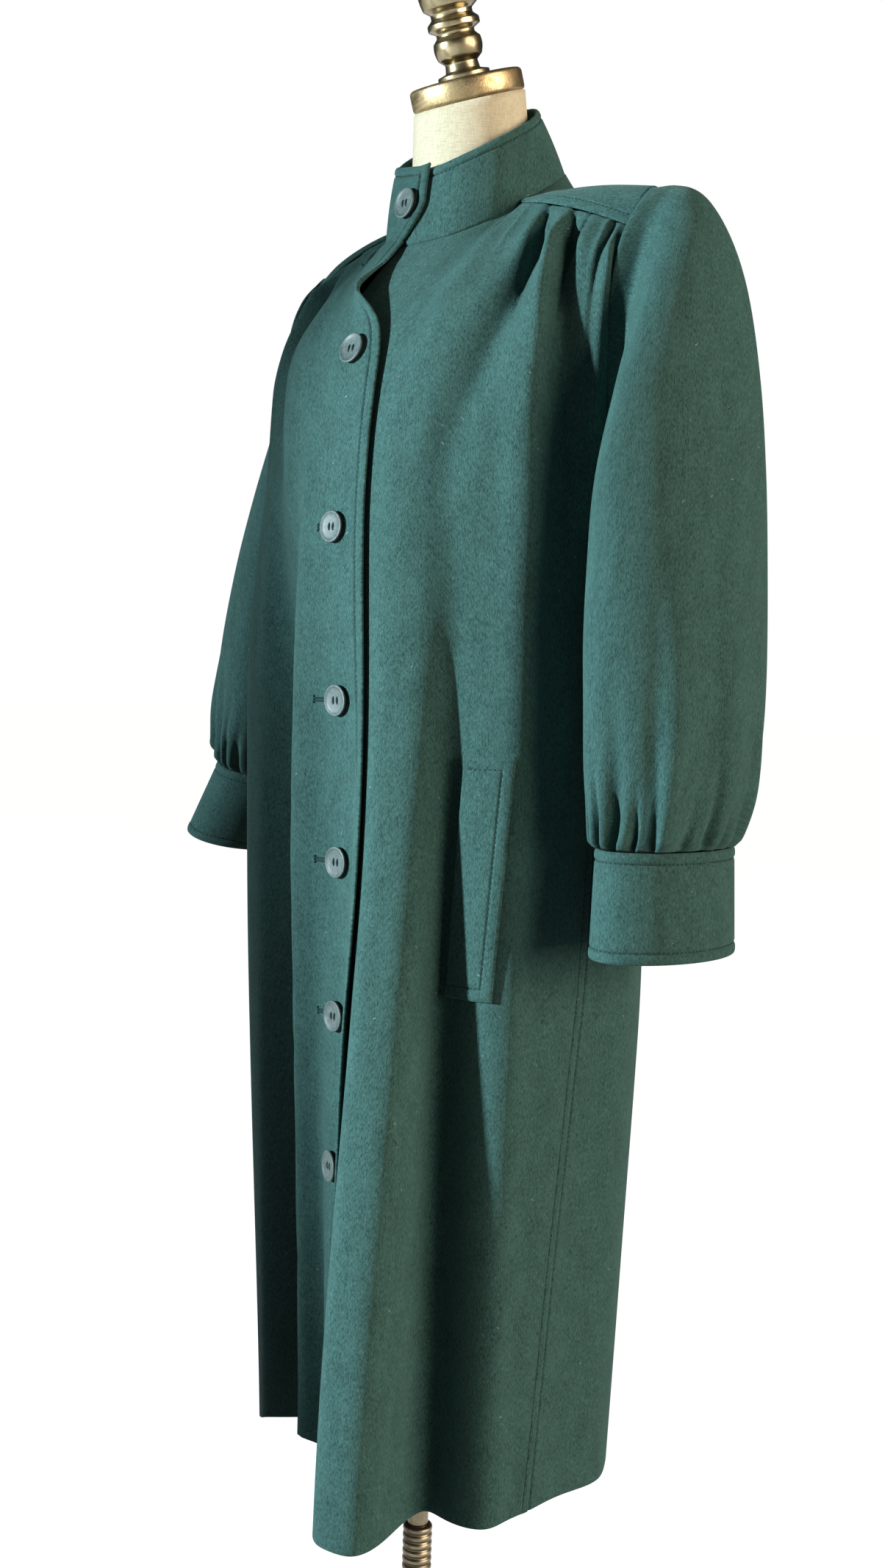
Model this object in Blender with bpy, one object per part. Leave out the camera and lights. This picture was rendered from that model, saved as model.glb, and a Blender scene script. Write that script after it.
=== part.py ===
"""Long wool coat with a gathered yoke, full sleeves and a stand collar, on a limbless dress form.

Metres, +Z up.  The coat's front faces -Y and its left side faces +X; the form's foot stands on Z = 0.
Every cloth piece is a thin wall whose outer face is worked out from the sizes and tables below.
"""
import math

import bmesh
import bpy
import numpy as np
from mathutils import Matrix, Vector

for old in list(bpy.data.objects):
    bpy.data.objects.remove(old, do_unlink=True)

SEAM = 0.0003
CLOTH = 0.0025
DOUBLE = 0.0036
LEFT = 1
RIGHT = -1


def material(name, colour, roughness, metallic=0.0):
    """A plain Principled material."""
    made = bpy.data.materials.new(name)
    made.use_nodes = True
    shader = made.node_tree.nodes["Principled BSDF"]
    shader.inputs["Base Color"].default_value = (*colour, 1.0)
    shader.inputs["Roughness"].default_value = roughness
    shader.inputs["Metallic"].default_value = metallic
    return made


WOOL = material("green_wool", (0.045, 0.105, 0.085), 0.9)
LINEN = material("cream_linen", (0.72, 0.65, 0.50), 0.85)
BRASS = material("aged_brass", (0.45, 0.32, 0.14), 0.35, 1.0)
IRON = material("dark_iron", (0.05, 0.05, 0.05), 0.5, 1.0)
HORN = material("grey_horn", (0.16, 0.19, 0.16), 0.45)


def curve(table, column, at):
    """A smooth value from one named column of a table, read along its first column."""
    keys = np.array(table[next(iter(table))], float)
    values = np.array(table[column], float)
    at = np.clip(np.asarray(at, float), keys[0], keys[-1])
    slopes = np.gradient(values, keys)
    place = np.clip(np.searchsorted(keys, at, side="right") - 1, 0, len(keys) - 2)
    step = keys[place + 1] - keys[place]
    t = (at - keys[place]) / step
    start = values[place] * (1 + 2 * t) * (1 - t) ** 2 + slopes[place] * step * t * (1 - t) ** 2
    end = values[place + 1] * t * t * (3 - 2 * t) + slopes[place + 1] * step * t * t * (t - 1)
    return start + end


def ease(value):
    """A smooth step from 0 to 1."""
    value = np.clip(value, 0.0, 1.0)
    return value * value * (3 - 2 * value)


def unit(vectors):
    """Vectors of length 1."""
    length = np.linalg.norm(vectors, axis=-1, keepdims=True)
    return vectors / np.maximum(length, 1e-9)


# The body of the coat: level sections by height, an oval in front and behind the form's axis.
BODY = {
    "height": (0.28, 0.50, 0.75, 0.95, 1.08, 1.16, 1.22, 1.26, 1.34),
    "half_width": (0.145, 0.153, 0.162, 0.166, 0.169, 0.178, 0.186, 0.190, 0.193),
    "front": (0.128, 0.130, 0.128, 0.130, 0.134, 0.131, 0.124, 0.116, 0.086),
    "back": (0.156, 0.164, 0.171, 0.168, 0.157, 0.146, 0.136, 0.128, 0.104),
}
OVAL = 2.2

# Long folds of the body.  Angles run from the front edge (0) round the left side (90) to the back (180).
FOLDS = (
    # name, top angle, hem angle, starts at, full at, push at the hem, width in degrees, flatness
    ("left front crest", 36, 26, 1.20, 0.33, 0.062, 12, 4),
    ("left chest ridge", 27, 26, 1.30, 1.12, 0.008, 12, 2),
    ("left front tuck", 48, 49, 1.24, 0.62, -0.024, 7, 2),
    ("left pocket ridge", 67, 66, 1.29, 1.08, 0.010, 7, 2),
    ("left side ease", 78, 74, 0.95, 0.40, 0.006, 16, 2),
    ("left back ridge", 112, 118, 1.10, 0.70, 0.012, 13, 2),
    ("left back fall", 138, 140, 1.10, 0.70, 0.011, 14, 2),
    ("middle back ridge", 166, 165, 1.10, 0.50, 0.012, 12, 2),
    ("right back hollow", 194, 196, 0.90, 0.40, -0.014, 12, 2),
    ("right back ridge", 222, 224, 1.05, 0.55, 0.012, 14, 2),
    ("right side hollow", 255, 252, 0.95, 0.45, -0.010, 14, 2),
    ("right side crest", 300, 294, 1.26, 0.96, 0.026, 16, 2),
    ("right side fall", 290, 290, 0.90, 0.30, -0.014, 24, 2),
    ("right chest hollow", 285, 285, 1.05, 1.20, -0.010, 20, 2),
    ("right front tuck", 330, 328, 1.24, 0.80, -0.048, 13, 6),
    ("right front ridge", 346, 346, 1.20, 0.90, 0.010, 9, 2),
    ("closing fall", 351, 352, 0.90, 0.33, -0.036, 11, 2),
)


def body_radius(angle, height):
    """Distance of the coat's outer face from the form's axis."""
    angle = np.mod(np.asarray(angle, float), 360.0)
    height = np.asarray(height, float)
    turn = np.radians(angle)
    width = curve(BODY, "half_width", height)
    depth = np.where(np.cos(turn) > 0, curve(BODY, "front", height), curve(BODY, "back", height))
    radius = (np.abs(np.sin(turn) / width) ** OVAL + np.abs(np.cos(turn) / depth) ** OVAL) ** (-1 / OVAL)
    for _, top, hem, start, full, push, width, flat in FOLDS:
        drop = np.clip((1.30 - height) / 1.0, 0.0, 1.0)
        middle = top + (hem - top) * drop
        off = np.mod(angle - middle + 180.0, 360.0) - 180.0
        swell = push * ease((start - height) / (start - full))
        radius = radius + swell * np.exp(-np.abs(off / width) ** flat)
    return radius


def body_point(angle, height, out=0.0):
    """A point of the coat's outer face."""
    radius = body_radius(angle, height) + out
    turn = np.radians(angle)
    return np.stack([radius * np.sin(turn), -radius * np.cos(turn), height + 0 * radius], -1)


def even_angles(start, end, height, shares):
    """Angles that lie at the given shares of the cloth along one level section."""
    fine = np.linspace(start, end, 241)
    points = body_point(fine, np.full_like(fine, height))
    lengths = np.concatenate([[0.0], np.cumsum(np.linalg.norm(np.diff(points, axis=0), axis=1))])
    return np.interp(np.asarray(shares) * lengths[-1], lengths, fine)


# The neck seam, from the middle front (0) to the middle back (180).
NECK = {
    "angle": (0, 30, 60, 90, 120, 150, 180),
    "side": (0.0, 0.036, 0.058, 0.067, 0.069, 0.047, 0.0),
    "forward": (0.053, 0.045, 0.024, -0.006, -0.048, -0.080, -0.091),
    "height": (1.370, 1.374, 1.386, 1.404, 1.430, 1.447, 1.452),
}


def neck_point(angle):
    """A point of the neck seam; negative angles are on the right."""
    angle = np.asarray(angle, float)
    turn = np.abs(angle)
    side = np.sign(angle) * curve(NECK, "side", turn)
    return np.stack([side, -curve(NECK, "forward", turn), curve(NECK, "height", turn)], -1)


# The front yoke seam, from the neck to the armhole, and the armhole from there over the shoulder.
SHOULDER = {
    "along": (0.0, 0.35, 0.7, 1.0),
    "side": (0.067, 0.112, 0.158, 0.195),
    "forward": (-0.006, 0.009, 0.011, 0.002),
    "height": (1.404, 1.393, 1.379, 1.364),
}
SLOPE = {LEFT: 0.0, RIGHT: 0.020}
UNDERARM = 1.165
UPPER = 0.16
HEM = 0.306
JOIN = 1.255
BACK_YOKE = 1.335
ARM_FRONT = {
    "height": (1.165, 1.20, 1.255),
    "angle": (94.0, 92.0, 89.5),
}
ARM_BACK = {
    "height": (1.165, 1.20, 1.26, 1.335),
    "angle": (94.0, 104.0, 109.5, 108.5),
}
SIDE_SEAM = {
    "height": (0.28, 0.50, 0.75, 1.00, 1.165),
    "angle": (80.2, 85.4, 92.3, 94.2, 94.0),
}


def seam_point(along, side):
    """A point of the front yoke seam."""
    return np.stack([
        side * curve(SHOULDER, "side", along),
        -curve(SHOULDER, "forward", along),
        curve(SHOULDER, "height", along) - SLOPE[side] * along,
    ], -1)


# Gathers that fan down from the front yoke seam; across runs from the front edge to the armhole.
GATHER_PATHS = {
    "depth": (0.0, 0.03, 0.06, 0.10, 0.14, 0.20, 0.24, 0.30, 0.46),
    "chest ridge": (0.41, 0.42, 0.43, 0.44, 0.45, 0.41, 0.39, 0.38, 0.38),
    "first pleat": (0.61, 0.625, 0.635, 0.64, 0.64, 0.64, 0.64, 0.64, 0.64),
    "chest trough": (0.68, 0.685, 0.68, 0.67, 0.63, 0.56, 0.50, 0.49, 0.51),
    "main ridge": (0.735, 0.745, 0.755, 0.755, 0.755, 0.72, 0.705, 0.70, 0.70),
    "small pleat": (0.875, 0.845, 0.828, 0.82, 0.82, 0.82, 0.82, 0.82, 0.82),
    "arm hollow": (0.80, 0.80, 0.805, 0.805, 0.81, 0.815, 0.815, 0.815, 0.82),
    "arm ridge": (0.975, 0.975, 0.96, 0.935, 0.92, 0.91, 0.905, 0.90, 0.90),
}
GATHERS = (
    # name, push, width across, length down
    ("chest ridge", 0.007, 0.070, 0.36),
    ("first pleat", 0.008, 0.024, 0.11),
    ("chest trough", -0.014, 0.042, 0.42),
    ("main ridge", 0.015, 0.036, 0.46),
    ("small pleat", 0.007, 0.024, 0.10),
    ("arm hollow", -0.016, 0.036, 0.45),
    ("arm ridge", 0.012, 0.030, 0.40),
)
NECK_SHARE = 0.42
GAPE_AT = 0.078
GAPE_PULL = (0.013, 0.018, 0.0)
NECK_COLUMNS = 10
SEAM_COLUMNS = 19
FRONT_ROWS = (
    0.0, 0.012, 0.030, 0.048, 0.068, 0.09, 0.12, 0.16, 0.20, 0.24,
    0.32, 0.435, 0.52, 0.61, 0.71, 0.81, 0.91, 1.0,
)
FRONT_ACROSS = np.concatenate([
    np.linspace(0.0, NECK_SHARE, NECK_COLUMNS),
    np.linspace(NECK_SHARE, 1.0, SEAM_COLUMNS)[1:],
])


# The closing: angles of the right front's edge, which lies over, and of the left front's edge under it.
CLOSING = {
    "height": (0.28, 0.60, 0.80, 1.00, 1.12, 1.255),
    "over": (9.0, 15.5, 22.0, 20.3, 18.0, 16.5),
    "under": (-6.0, -7.0, -8.0, -9.5, -14.0, -20.0),
}


def grid_normals(grid, closed=False):
    """Normals of a grid of points, rows by columns."""
    if closed:
        across = np.roll(grid, -1, 1) - np.roll(grid, 1, 1)
    else:
        across = np.gradient(grid, axis=1)
    down = np.gradient(grid, axis=0)
    return unit(np.cross(across, down))


def hem_height(angle):
    """Height of the hem round the coat; it rides up a little over the right front tuck."""
    off = np.mod(np.asarray(angle, float) - 334.0 + 180.0, 360.0) - 180.0
    side = np.mod(np.asarray(angle, float) - 85.0 + 180.0, 360.0) - 180.0
    return HEM + 0.042 * np.exp(-(off / 28.0) ** 2) + 0.006 * np.exp(-(side / 40.0) ** 2)


def level_of(row):
    """Height of a body row, before the hem's own rise and fall."""
    return JOIN + (HEM - JOIN) * (row - UPPER) / (1 - UPPER)


def front_panel(side, across=FRONT_ACROSS, rows=FRONT_ROWS):
    """Outer face of one front, from its neck and yoke seam to its hem."""
    columns = len(across)
    over = side == RIGHT
    top = np.zeros((columns, 3))
    for index, share in enumerate(across):
        if share <= NECK_SHARE:
            start = 9.0 if over else -17.0
            top[index] = neck_point(side * (start + (90.0 - start) * share / NECK_SHARE))
        else:
            top[index] = seam_point((share - NECK_SHARE) / (1 - NECK_SHARE), side)
    grid = np.zeros((len(rows), columns, 3))

    def ring(height):
        outer_edge = np.interp(height, SIDE_SEAM["height"], SIDE_SEAM["angle"])
        if height > UNDERARM:
            outer_edge = curve(ARM_FRONT, "angle", height)
        inner_edge = float(curve(CLOSING, "over" if over else "under", height))
        return even_angles(inner_edge, side * float(outer_edge), height, across)

    join = body_point(ring(JOIN), np.full(columns, JOIN))
    below = body_point(ring(JOIN - 0.01), np.full(columns, JOIN - 0.01))
    reach = np.linalg.norm(top - join, axis=1)[:, None]
    leave = np.stack([0 * across, -0.72 + 0.12 * across, -0.66 - 0.18 * across], -1)
    arrive = unit(below - join)
    for index, row in enumerate(rows):
        if row < UPPER:
            t = row / UPPER
            grid[index] = (
                top * (1 + 2 * t) * (1 - t) ** 2
                + leave * reach * t * (1 - t) ** 2
                + join * t * t * (3 - 2 * t)
                + arrive * reach * t * t * (t - 1)
            )
        else:
            share = (row - UPPER) / (1 - UPPER)
            angles = ring(level_of(row))
            heights = JOIN + (hem_height(angles) - JOIN) * share
            grid[index] = body_point(angles, heights)
    normals = -side * grid_normals(grid)
    depth = np.array(rows)[:, None] * 1.08
    held = ease((1 - across[None, :]) / 0.04)
    for name, push, width, length in GATHERS:
        t = np.clip(depth / length, 0.0, 1.0)
        swell = np.minimum(1.0, 0.04 + (depth / 0.045) ** 1.4) * (1 - ease(t)) * held
        off = across[None, :] - curve(GATHER_PATHS, name, depth)
        ridge = np.exp(-(off / (width * (1 + 0.8 * t))) ** 2)
        grid = grid + normals * (push * swell * ridge)[..., None]
    lift = np.zeros((len(rows), columns))
    if over:
        lap = ease((0.30 + 0.20 * ease(depth / 0.1) - across[None, :]) / 0.14)
        lift = lift + (CLOTH + 0.0012) * lap
        roll = np.clip(1 - across[None, :] / 0.20, 0.0, 1.0) ** 1.6
        gape = roll * np.exp(-((depth - GAPE_AT) / 0.030) ** 2) * ease(depth / 0.03)
        grid = grid - gape[..., None] * np.array(GAPE_PULL)
    else:
        under = ease((0.46 - across[None, :]) / 0.12)
        under = under * (0.5 + 0.5 * ease(depth / 0.02))
        lift = lift - (0.0024 + 0.0008 * ease((0.22 - depth) / 0.1)) * under
    grid = grid + normals * lift[..., None]
    return grid


def wall(name, outer, thickness, look, closed=False, normals=None):
    """A closed thin wall: the outer face, an inner face and the rims between."""
    if normals is None:
        normals = grid_normals(outer, closed)
    inner = outer - normals * thickness
    rows, columns = outer.shape[:2]
    count = rows * columns
    points = np.concatenate([outer.reshape(-1, 3), inner.reshape(-1, 3)])
    faces = []
    spans = columns if closed else columns - 1
    for row in range(rows - 1):
        for column in range(spans):
            a = row * columns + column
            b = row * columns + (column + 1) % columns
            c = b + columns
            d = a + columns
            faces.append((a, b, c, d))
            faces.append((a + count, d + count, c + count, b + count))
    for column in range(spans):
        a = column
        b = (column + 1) % columns
        faces.append((a, a + count, b + count, b))
        a = a + (rows - 1) * columns
        b = b + (rows - 1) * columns
        faces.append((a, b, b + count, a + count))
    if not closed:
        for row in range(rows - 1):
            a = row * columns
            d = a + columns
            faces.append((a, d, d + count, a + count))
            a = a + columns - 1
            d = d + columns - 1
            faces.append((a, a + count, d + count, d))
    return solid(name, points, faces, look)


def solid(name, points, faces, look):
    """A mesh object whose faces are turned outward."""
    mesh = bpy.data.meshes.new(name)
    mesh.from_pydata([tuple(map(float, point)) for point in points], [], faces)
    shape = bmesh.new()
    shape.from_mesh(mesh)
    bmesh.ops.recalc_face_normals(shape, faces=shape.faces)
    shape.to_mesh(mesh)
    shape.free()
    mesh.materials.append(look)
    made = bpy.data.objects.new(name, mesh)
    bpy.context.collection.objects.link(made)
    return made


def trim(grid, top=0.0, bottom=0.0, start=0.0, end=0.0):
    """Pull the edges of a grid back by part of a seam gap."""
    grid = grid.copy()
    if top:
        grid[0] = grid[0] + unit(grid[1] - grid[0]) * top
    if bottom:
        grid[-1] = grid[-1] + unit(grid[-2] - grid[-1]) * bottom
    if start:
        grid[:, 0] = grid[:, 0] + unit(grid[:, 1] - grid[:, 0]) * start
    if end:
        grid[:, -1] = grid[:, -1] + unit(grid[:, -2] - grid[:, -1]) * end
    return grid


BACK_LEVELS = (1.335, 1.318, 1.29, 1.255, 1.21) + tuple(level_of(row) for row in FRONT_ROWS if row >= 0.24)
BACK_COLUMNS = 33


def back_panel(columns=BACK_COLUMNS, levels=BACK_LEVELS):
    """Outer face of the back, from the yoke seam to the hem, left side seam to right."""
    grid = np.zeros((len(levels), columns, 3))
    for index, level in enumerate(levels):
        if level > UNDERARM:
            edge = float(curve(ARM_BACK, "angle", level))
        else:
            edge = float(np.interp(level, SIDE_SEAM["height"], SIDE_SEAM["angle"]))
        angles = even_angles(edge, 360.0 - edge, level, np.linspace(0.0, 1.0, columns))
        share = np.clip((JOIN - level) / (JOIN - HEM), 0.0, 1.0)
        heights = level + (hem_height(angles) - HEM) * share
        grid[index] = body_point(angles, heights)
    return grid


# The top of the armhole, from the front yoke seam over the shoulder to the back yoke seam.
ARM_CORNER = body_point(curve(ARM_BACK, "angle", BACK_YOKE), BACK_YOKE)
ARM_TOP = {
    "along": (0.0, 0.25, 0.5, 0.75, 1.0),
    "side": (0.195, 0.198, 0.198, 0.189, ARM_CORNER[0]),
    "forward": (0.002, -0.010, -0.026, -0.043, -ARM_CORNER[1]),
    "height": (1.364, 1.390, 1.399, 1.380, BACK_YOKE),
}
YOKE_ARM = 6
YOKE_BACK = 8
YOKE_ACROSS = 8
ARM_PART = 0.46


def yoke_half(side):
    """Outer face of half the yoke: rows from the neck to the armhole, columns from front to middle back."""
    beside_arm = np.linspace(0.0, ARM_PART, YOKE_ARM)
    across_back = np.linspace(ARM_PART, 1.0, YOKE_BACK)[1:]
    along = np.concatenate([beside_arm, across_back])
    across = np.linspace(0.0, 1.0, YOKE_ACROSS)
    grid = np.zeros((YOKE_ACROSS, len(along), 3))
    back_corner = float(curve(ARM_BACK, "angle", BACK_YOKE))
    front = seam_point(across, side) * np.array([side, 1, 1])
    bow = front - (front[:1] + (front[-1:] - front[:1]) * across[:, None])
    for column, place in enumerate(along):
        if place <= ARM_PART:
            t = place / ARM_PART
            height = curve(ARM_TOP, "height", t) - SLOPE[side] * (1 - ease((t - 0.4) / 0.6))
            outer = np.array([curve(ARM_TOP, "side", t), -curve(ARM_TOP, "forward", t), height])
        else:
            t = (place - ARM_PART) / (1 - ARM_PART)
            outer = body_point(back_corner + (180.0 - back_corner) * t, BACK_YOKE)
        inner = neck_point(90.0 + 90.0 * ease(0.15 * place + 0.85 * place ** 1.2) if place else 90.0)
        line = inner + (outer - inner) * across[:, None]
        crown = np.stack([0 * across, 0 * across, 0.004 * np.sin(math.pi * across)], -1)
        fade = float(ease(place / 0.3))
        grid[:, column] = line + bow * (1 - fade) + crown * fade
    grid[..., 0] *= side
    return grid


def yoke_face():
    """Outer face of the whole yoke, from the left front seam round the back to the right front seam."""
    left = yoke_half(LEFT)
    right = yoke_half(RIGHT)[:, ::-1]
    return np.concatenate([left, right[:, 1:]], axis=1)


# The stand collar: how far it rises and leans in from the neck seam.
COLLAR = {
    "angle": (0, 45, 90, 135, 180),
    "rise": (0.063, 0.065, 0.064, 0.056, 0.053),
    "lean": (0.010, 0.007, 0.007, 0.025, 0.0288),
}
COLLAR_UNDER = -16.0
COLLAR_OVER = 369.0
COLLAR_SLANT = 18.0
COLLAR_LEVELS = (0.0, 0.16, 0.34, 0.65, 1.0)


def collar_face(columns=53):
    """Outer face of the collar, from its left end under the lap to its right end."""
    turns = np.linspace(COLLAR_UNDER, COLLAR_OVER, columns)
    folded = np.abs(np.mod(turns + 180.0, 360.0) - 180.0)
    sides = np.where(np.mod(turns, 360.0) > 180.0, -1.0, 1.0)
    foot = neck_point(folded * sides + 0.0)
    foot[:, 0] = np.abs(foot[:, 0]) * sides
    away = unit(np.stack([foot[:, 0], foot[:, 1] * 0.9, 0 * turns], -1))
    lap = ease((turns - 296.0) / 40.0)[:, None]
    foot = foot + away * (DOUBLE + 0.0008) * lap
    foot[:, 2] = foot[:, 2] + 0.0014 + 0.0026 * lap[:, 0]
    rise = curve(COLLAR, "rise", folded)
    lean = curve(COLLAR, "lean", folded)
    top = foot - away * lean[:, None] + np.stack([0 * rise, 0 * rise, rise], -1)
    grid = np.stack([foot + (top - foot) * level for level in COLLAR_LEVELS])
    grid[1:4] = grid[1:4] + away[None] * 0.0012
    for row, level in enumerate(COLLAR_LEVELS):
        drawn = COLLAR_SLANT * max(0.0, 1 - level / 0.5) ** 1.6
        at = turns - drawn * ease((turns - 335.0) / 34.0)
        grid[row] = np.stack([np.interp(at, turns, grid[row, :, axis]) for axis in range(3)], -1)
    return grid


# The sleeves.  Each ring runs from its top (outer) point to its low (inner) point.
SLEEVE_LEFT = {
    "ring": (0, 1, 2, 3, 4, 5, 6, 7, 8, 9, 10, 11),
    "top_side": (0.199, 0.213, 0.235, 0.256, 0.269, 0.276, 0.281, 0.285, 0.287, 0.285, 0.278, 0.272),
    "top_height": (1.394, 1.399, 1.388, 1.350, 1.285, 1.205, 1.115, 1.030, 0.970, 0.925, 0.893, 0.878),
    "low_side": (0.178, 0.190, 0.191, 0.190, 0.188, 0.184, 0.181, 0.181, 0.182, 0.185, 0.188, 0.190),
    "low_height": (1.165, 1.158, 1.142, 1.122, 1.095, 1.060, 1.015, 0.970, 0.935, 0.908, 0.888, 0.878),
    "back": (0.020, 0.034, 0.036, 0.032, 0.028, 0.030, 0.032, 0.034, 0.034, 0.033, 0.031, 0.029),
    "depth": (0.070, 0.048, 0.059, 0.076, 0.089, 0.094, 0.096, 0.095, 0.092, 0.086, 0.078, 0.072),
}
SLEEVE_RIGHT = {
    "ring": (0, 1, 2, 3, 4, 5, 6, 7, 8, 9, 10, 11),
    "top_side": (0.199, 0.205, 0.212, 0.228, 0.253, 0.281, 0.304, 0.320, 0.329, 0.332, 0.331, 0.328),
    "top_height": (1.374, 1.369, 1.341, 1.302, 1.256, 1.198, 1.128, 1.054, 0.999, 0.962, 0.934, 0.920),
    "low_side": (0.178, 0.190, 0.190, 0.188, 0.186, 0.185, 0.188, 0.198, 0.211, 0.226, 0.237, 0.243),
    "low_height": (1.165, 1.158, 1.142, 1.122, 1.095, 1.062, 1.022, 0.982, 0.950, 0.925, 0.907, 0.897),
    "back": (0.020, 0.026, 0.035, 0.042, 0.046, 0.048, 0.047, 0.045, 0.044, 0.042, 0.040, 0.039),
    "depth": (0.066, 0.054, 0.060, 0.066, 0.072, 0.076, 0.080, 0.082, 0.080, 0.075, 0.067, 0.061),
}
GATHER_COUNT = 20
SLEEVE_POINTS = 2 * GATHER_COUNT
ARM_GAP = {LEFT: 0.0008, RIGHT: 0.0012}


def armhole(side, front, back, yoke):
    """The armhole edge of the body as a loop: top of the shoulder, front, underarm, back."""
    last = FRONT_ROWS.index(0.24)
    front_edge = front[: last + 1, -1]
    back_edge = back[:6, 0 if side == LEFT else -1]
    over = yoke[-1, :YOKE_ARM] if side == LEFT else yoke[-1, ::-1][:YOKE_ARM]
    peak = int(np.argmax(over[:, 2]))
    to_front = over[: peak + 1][::-1]
    from_back = over[peak + 1:-1][::-1]
    loop = np.concatenate([to_front, front_edge[1:], back_edge[::-1][1:], from_back])
    following = np.roll(loop, -1, 0)
    lengths = np.linalg.norm(following - loop, axis=1)
    shares = np.maximum(1, np.round(lengths / lengths.sum() * SLEEVE_POINTS).astype(int))
    while shares.sum() != SLEEVE_POINTS:
        step = np.sign(SLEEVE_POINTS - shares.sum())
        stretch = lengths / shares
        change = np.argmax(stretch) if step > 0 else np.argmin(np.where(shares > 1, stretch, np.inf))
        shares[change] += step
    points = []
    for start, end, share in zip(loop, following, shares):
        for part in range(share):
            points.append(start + (end - start) * part / share)
    return np.array(points)


def sleeve_face(side, loop, table, rings=12):
    """Outer face of one sleeve, from the armhole to the cuff seam."""
    around = np.linspace(0.0, 2 * math.pi, SLEEVE_POINTS, endpoint=False)
    grid = []
    start = loop.copy()
    start[:, 0] = start[:, 0] + side * ARM_GAP[side]
    grid.append(start)
    for ring in range(1, rings):
        top = np.array([curve(table, "top_side", ring), curve(table, "top_height", ring)])
        low = np.array([curve(table, "low_side", ring), curve(table, "low_height", ring)])
        back = float(curve(table, "back", ring))
        depth = float(curve(table, "depth", ring))
        share = (1 + np.cos(around)) / 2
        place = low + (top - low) * share[:, None]
        wave = np.cos(GATHER_COUNT * around) * (0.7 + 0.3 * np.sin(3 * around + 0.7))
        fullness = {9: 0.0015, 10: 0.0042, 11: 0.0022}.get(ring, 0.0)
        swell = 1 + fullness * wave / depth
        points = np.stack([place[:, 0], back - depth * np.sin(around), place[:, 1]], -1)
        middle = points.mean(0)
        points = middle + (points - middle) * swell[:, None]
        points[:, 0] *= side
        grid.append(points)
    return np.stack(grid)


CUFF = {
    "level": (0.0, 0.5, 1.0),
    "drop": (0.0, 0.043, 0.086),
    "flare": (0.0, 0.0015, 0.0030),
}


def cuff_face(side, table, swing, gap):
    """Outer face of one cuff: a plain band below the sleeve's last ring."""
    around = np.linspace(0.0, 2 * math.pi, 40, endpoint=False)
    share = (1 + np.cos(around)) / 2
    top = np.array([table["top_side"][-1], table["top_height"][-1]])
    low = np.array([table["low_side"][-1], table["low_height"][-1]])
    place = low + (top - low) * share[:, None]
    depth = table["depth"][-1]
    first = np.stack([place[:, 0], table["back"][-1] - depth * np.sin(around), place[:, 1]], -1)
    middle = first.mean(0)
    away = unit(first - middle)
    cross = np.array([top[0] - low[0], 0.0, top[1] - low[1]])
    down = unit(np.cross(cross, np.array([0.0, 1.0, 0.0])))
    if down[2] > 0:
        down = -down
    down = unit(down + np.array(swing))
    grid = []
    for level in CUFF["level"]:
        drop = float(curve(CUFF, "drop", level)) + gap
        flare = float(curve(CUFF, "flare", level))
        grid.append(first + down * drop + away * flare)
    grid = np.stack(grid)
    grid[..., 0] *= side
    return grid


def lathe(name, profile, segments, place, look):
    """A turned solid from (radius, height) pairs; a radius of 0 closes an end."""
    points = []
    faces = []
    rings = []
    for radius, height in profile:
        if radius == 0:
            rings.append([len(points)])
            points.append(place @ Vector((0, 0, height)))
            continue
        first = len(points)
        for step in range(segments):
            turn = 2 * math.pi * step / segments
            points.append(place @ Vector((radius * math.cos(turn), radius * math.sin(turn), height)))
        rings.append(list(range(first, first + segments)))
    for lower, upper in zip(rings, rings[1:]):
        for step in range(segments):
            after = (step + 1) % segments
            if len(lower) == 1:
                faces.append((lower[0], upper[after], upper[step]))
            elif len(upper) == 1:
                faces.append((lower[step], lower[after], upper[0]))
            else:
                faces.append((lower[step], lower[after], upper[after], upper[step]))
    return solid(name, points, faces, look)


# Pocket welts: made from points of the front they lie on, moved out.
WELT = {
    "row": (0.435, 0.52, 0.61),
    "near": (53.5, 52.3, 51.0),
    "far": (66.0, 64.3, 62.5),
}
WELT_COLUMNS = 10
WELT_LIFT = {LEFT: 0.0011, RIGHT: 0.0006}
WELT_SHIFT = {LEFT: 0.0, RIGHT: 17.0}


def welt_face(side, front):
    """Outer face of one welt."""
    grid = []
    for row, near, far in zip(*WELT.values()):
        line = front[FRONT_ROWS.index(row)]
        angles = np.abs(np.degrees(np.arctan2(line[:, 0], -line[:, 1])))
        angles[:6] = np.linspace(-6.0, -1.0, 6)
        at = np.linspace(near, far, WELT_COLUMNS) + WELT_SHIFT[side]
        grid.append(np.stack([np.interp(at, angles, line[:, axis]) for axis in range(3)], -1))
    grid = np.stack(grid)
    normals = -side * grid_normals(grid)
    return grid + normals * (DOUBLE + WELT_LIFT[side]), normals


def body_normal(angle, height):
    """Outward direction of the body's outer face."""
    across = body_point(angle + 0.5, height) - body_point(angle - 0.5, height)
    down = body_point(angle, height - 0.002) - body_point(angle, height + 0.002)
    return -unit(np.cross(across, down))


def angle_of(points):
    """Angle round the form's axis of each point."""
    return np.mod(np.degrees(np.arctan2(points[..., 0], -points[..., 1])), 360.0)


def yoke_seam_normal(along, side):
    """Outward direction along the front yoke seam, shared by the yoke and the front."""
    tangent = seam_point(along + 0.01, side) - seam_point(along - 0.01, side)
    down = np.stack([0 * along, -0.66 + 0 * along, -0.75 + 0 * along], -1)
    return -side * unit(np.cross(tangent, down))


left_face = front_panel(LEFT)
right_face = front_panel(RIGHT)
back_face = back_panel()
yoke_grid = yoke_face()
left_out = -grid_normals(left_face)
right_out = grid_normals(right_face)
back_out = -grid_normals(back_face)
yoke_out = -grid_normals(yoke_grid)

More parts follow.
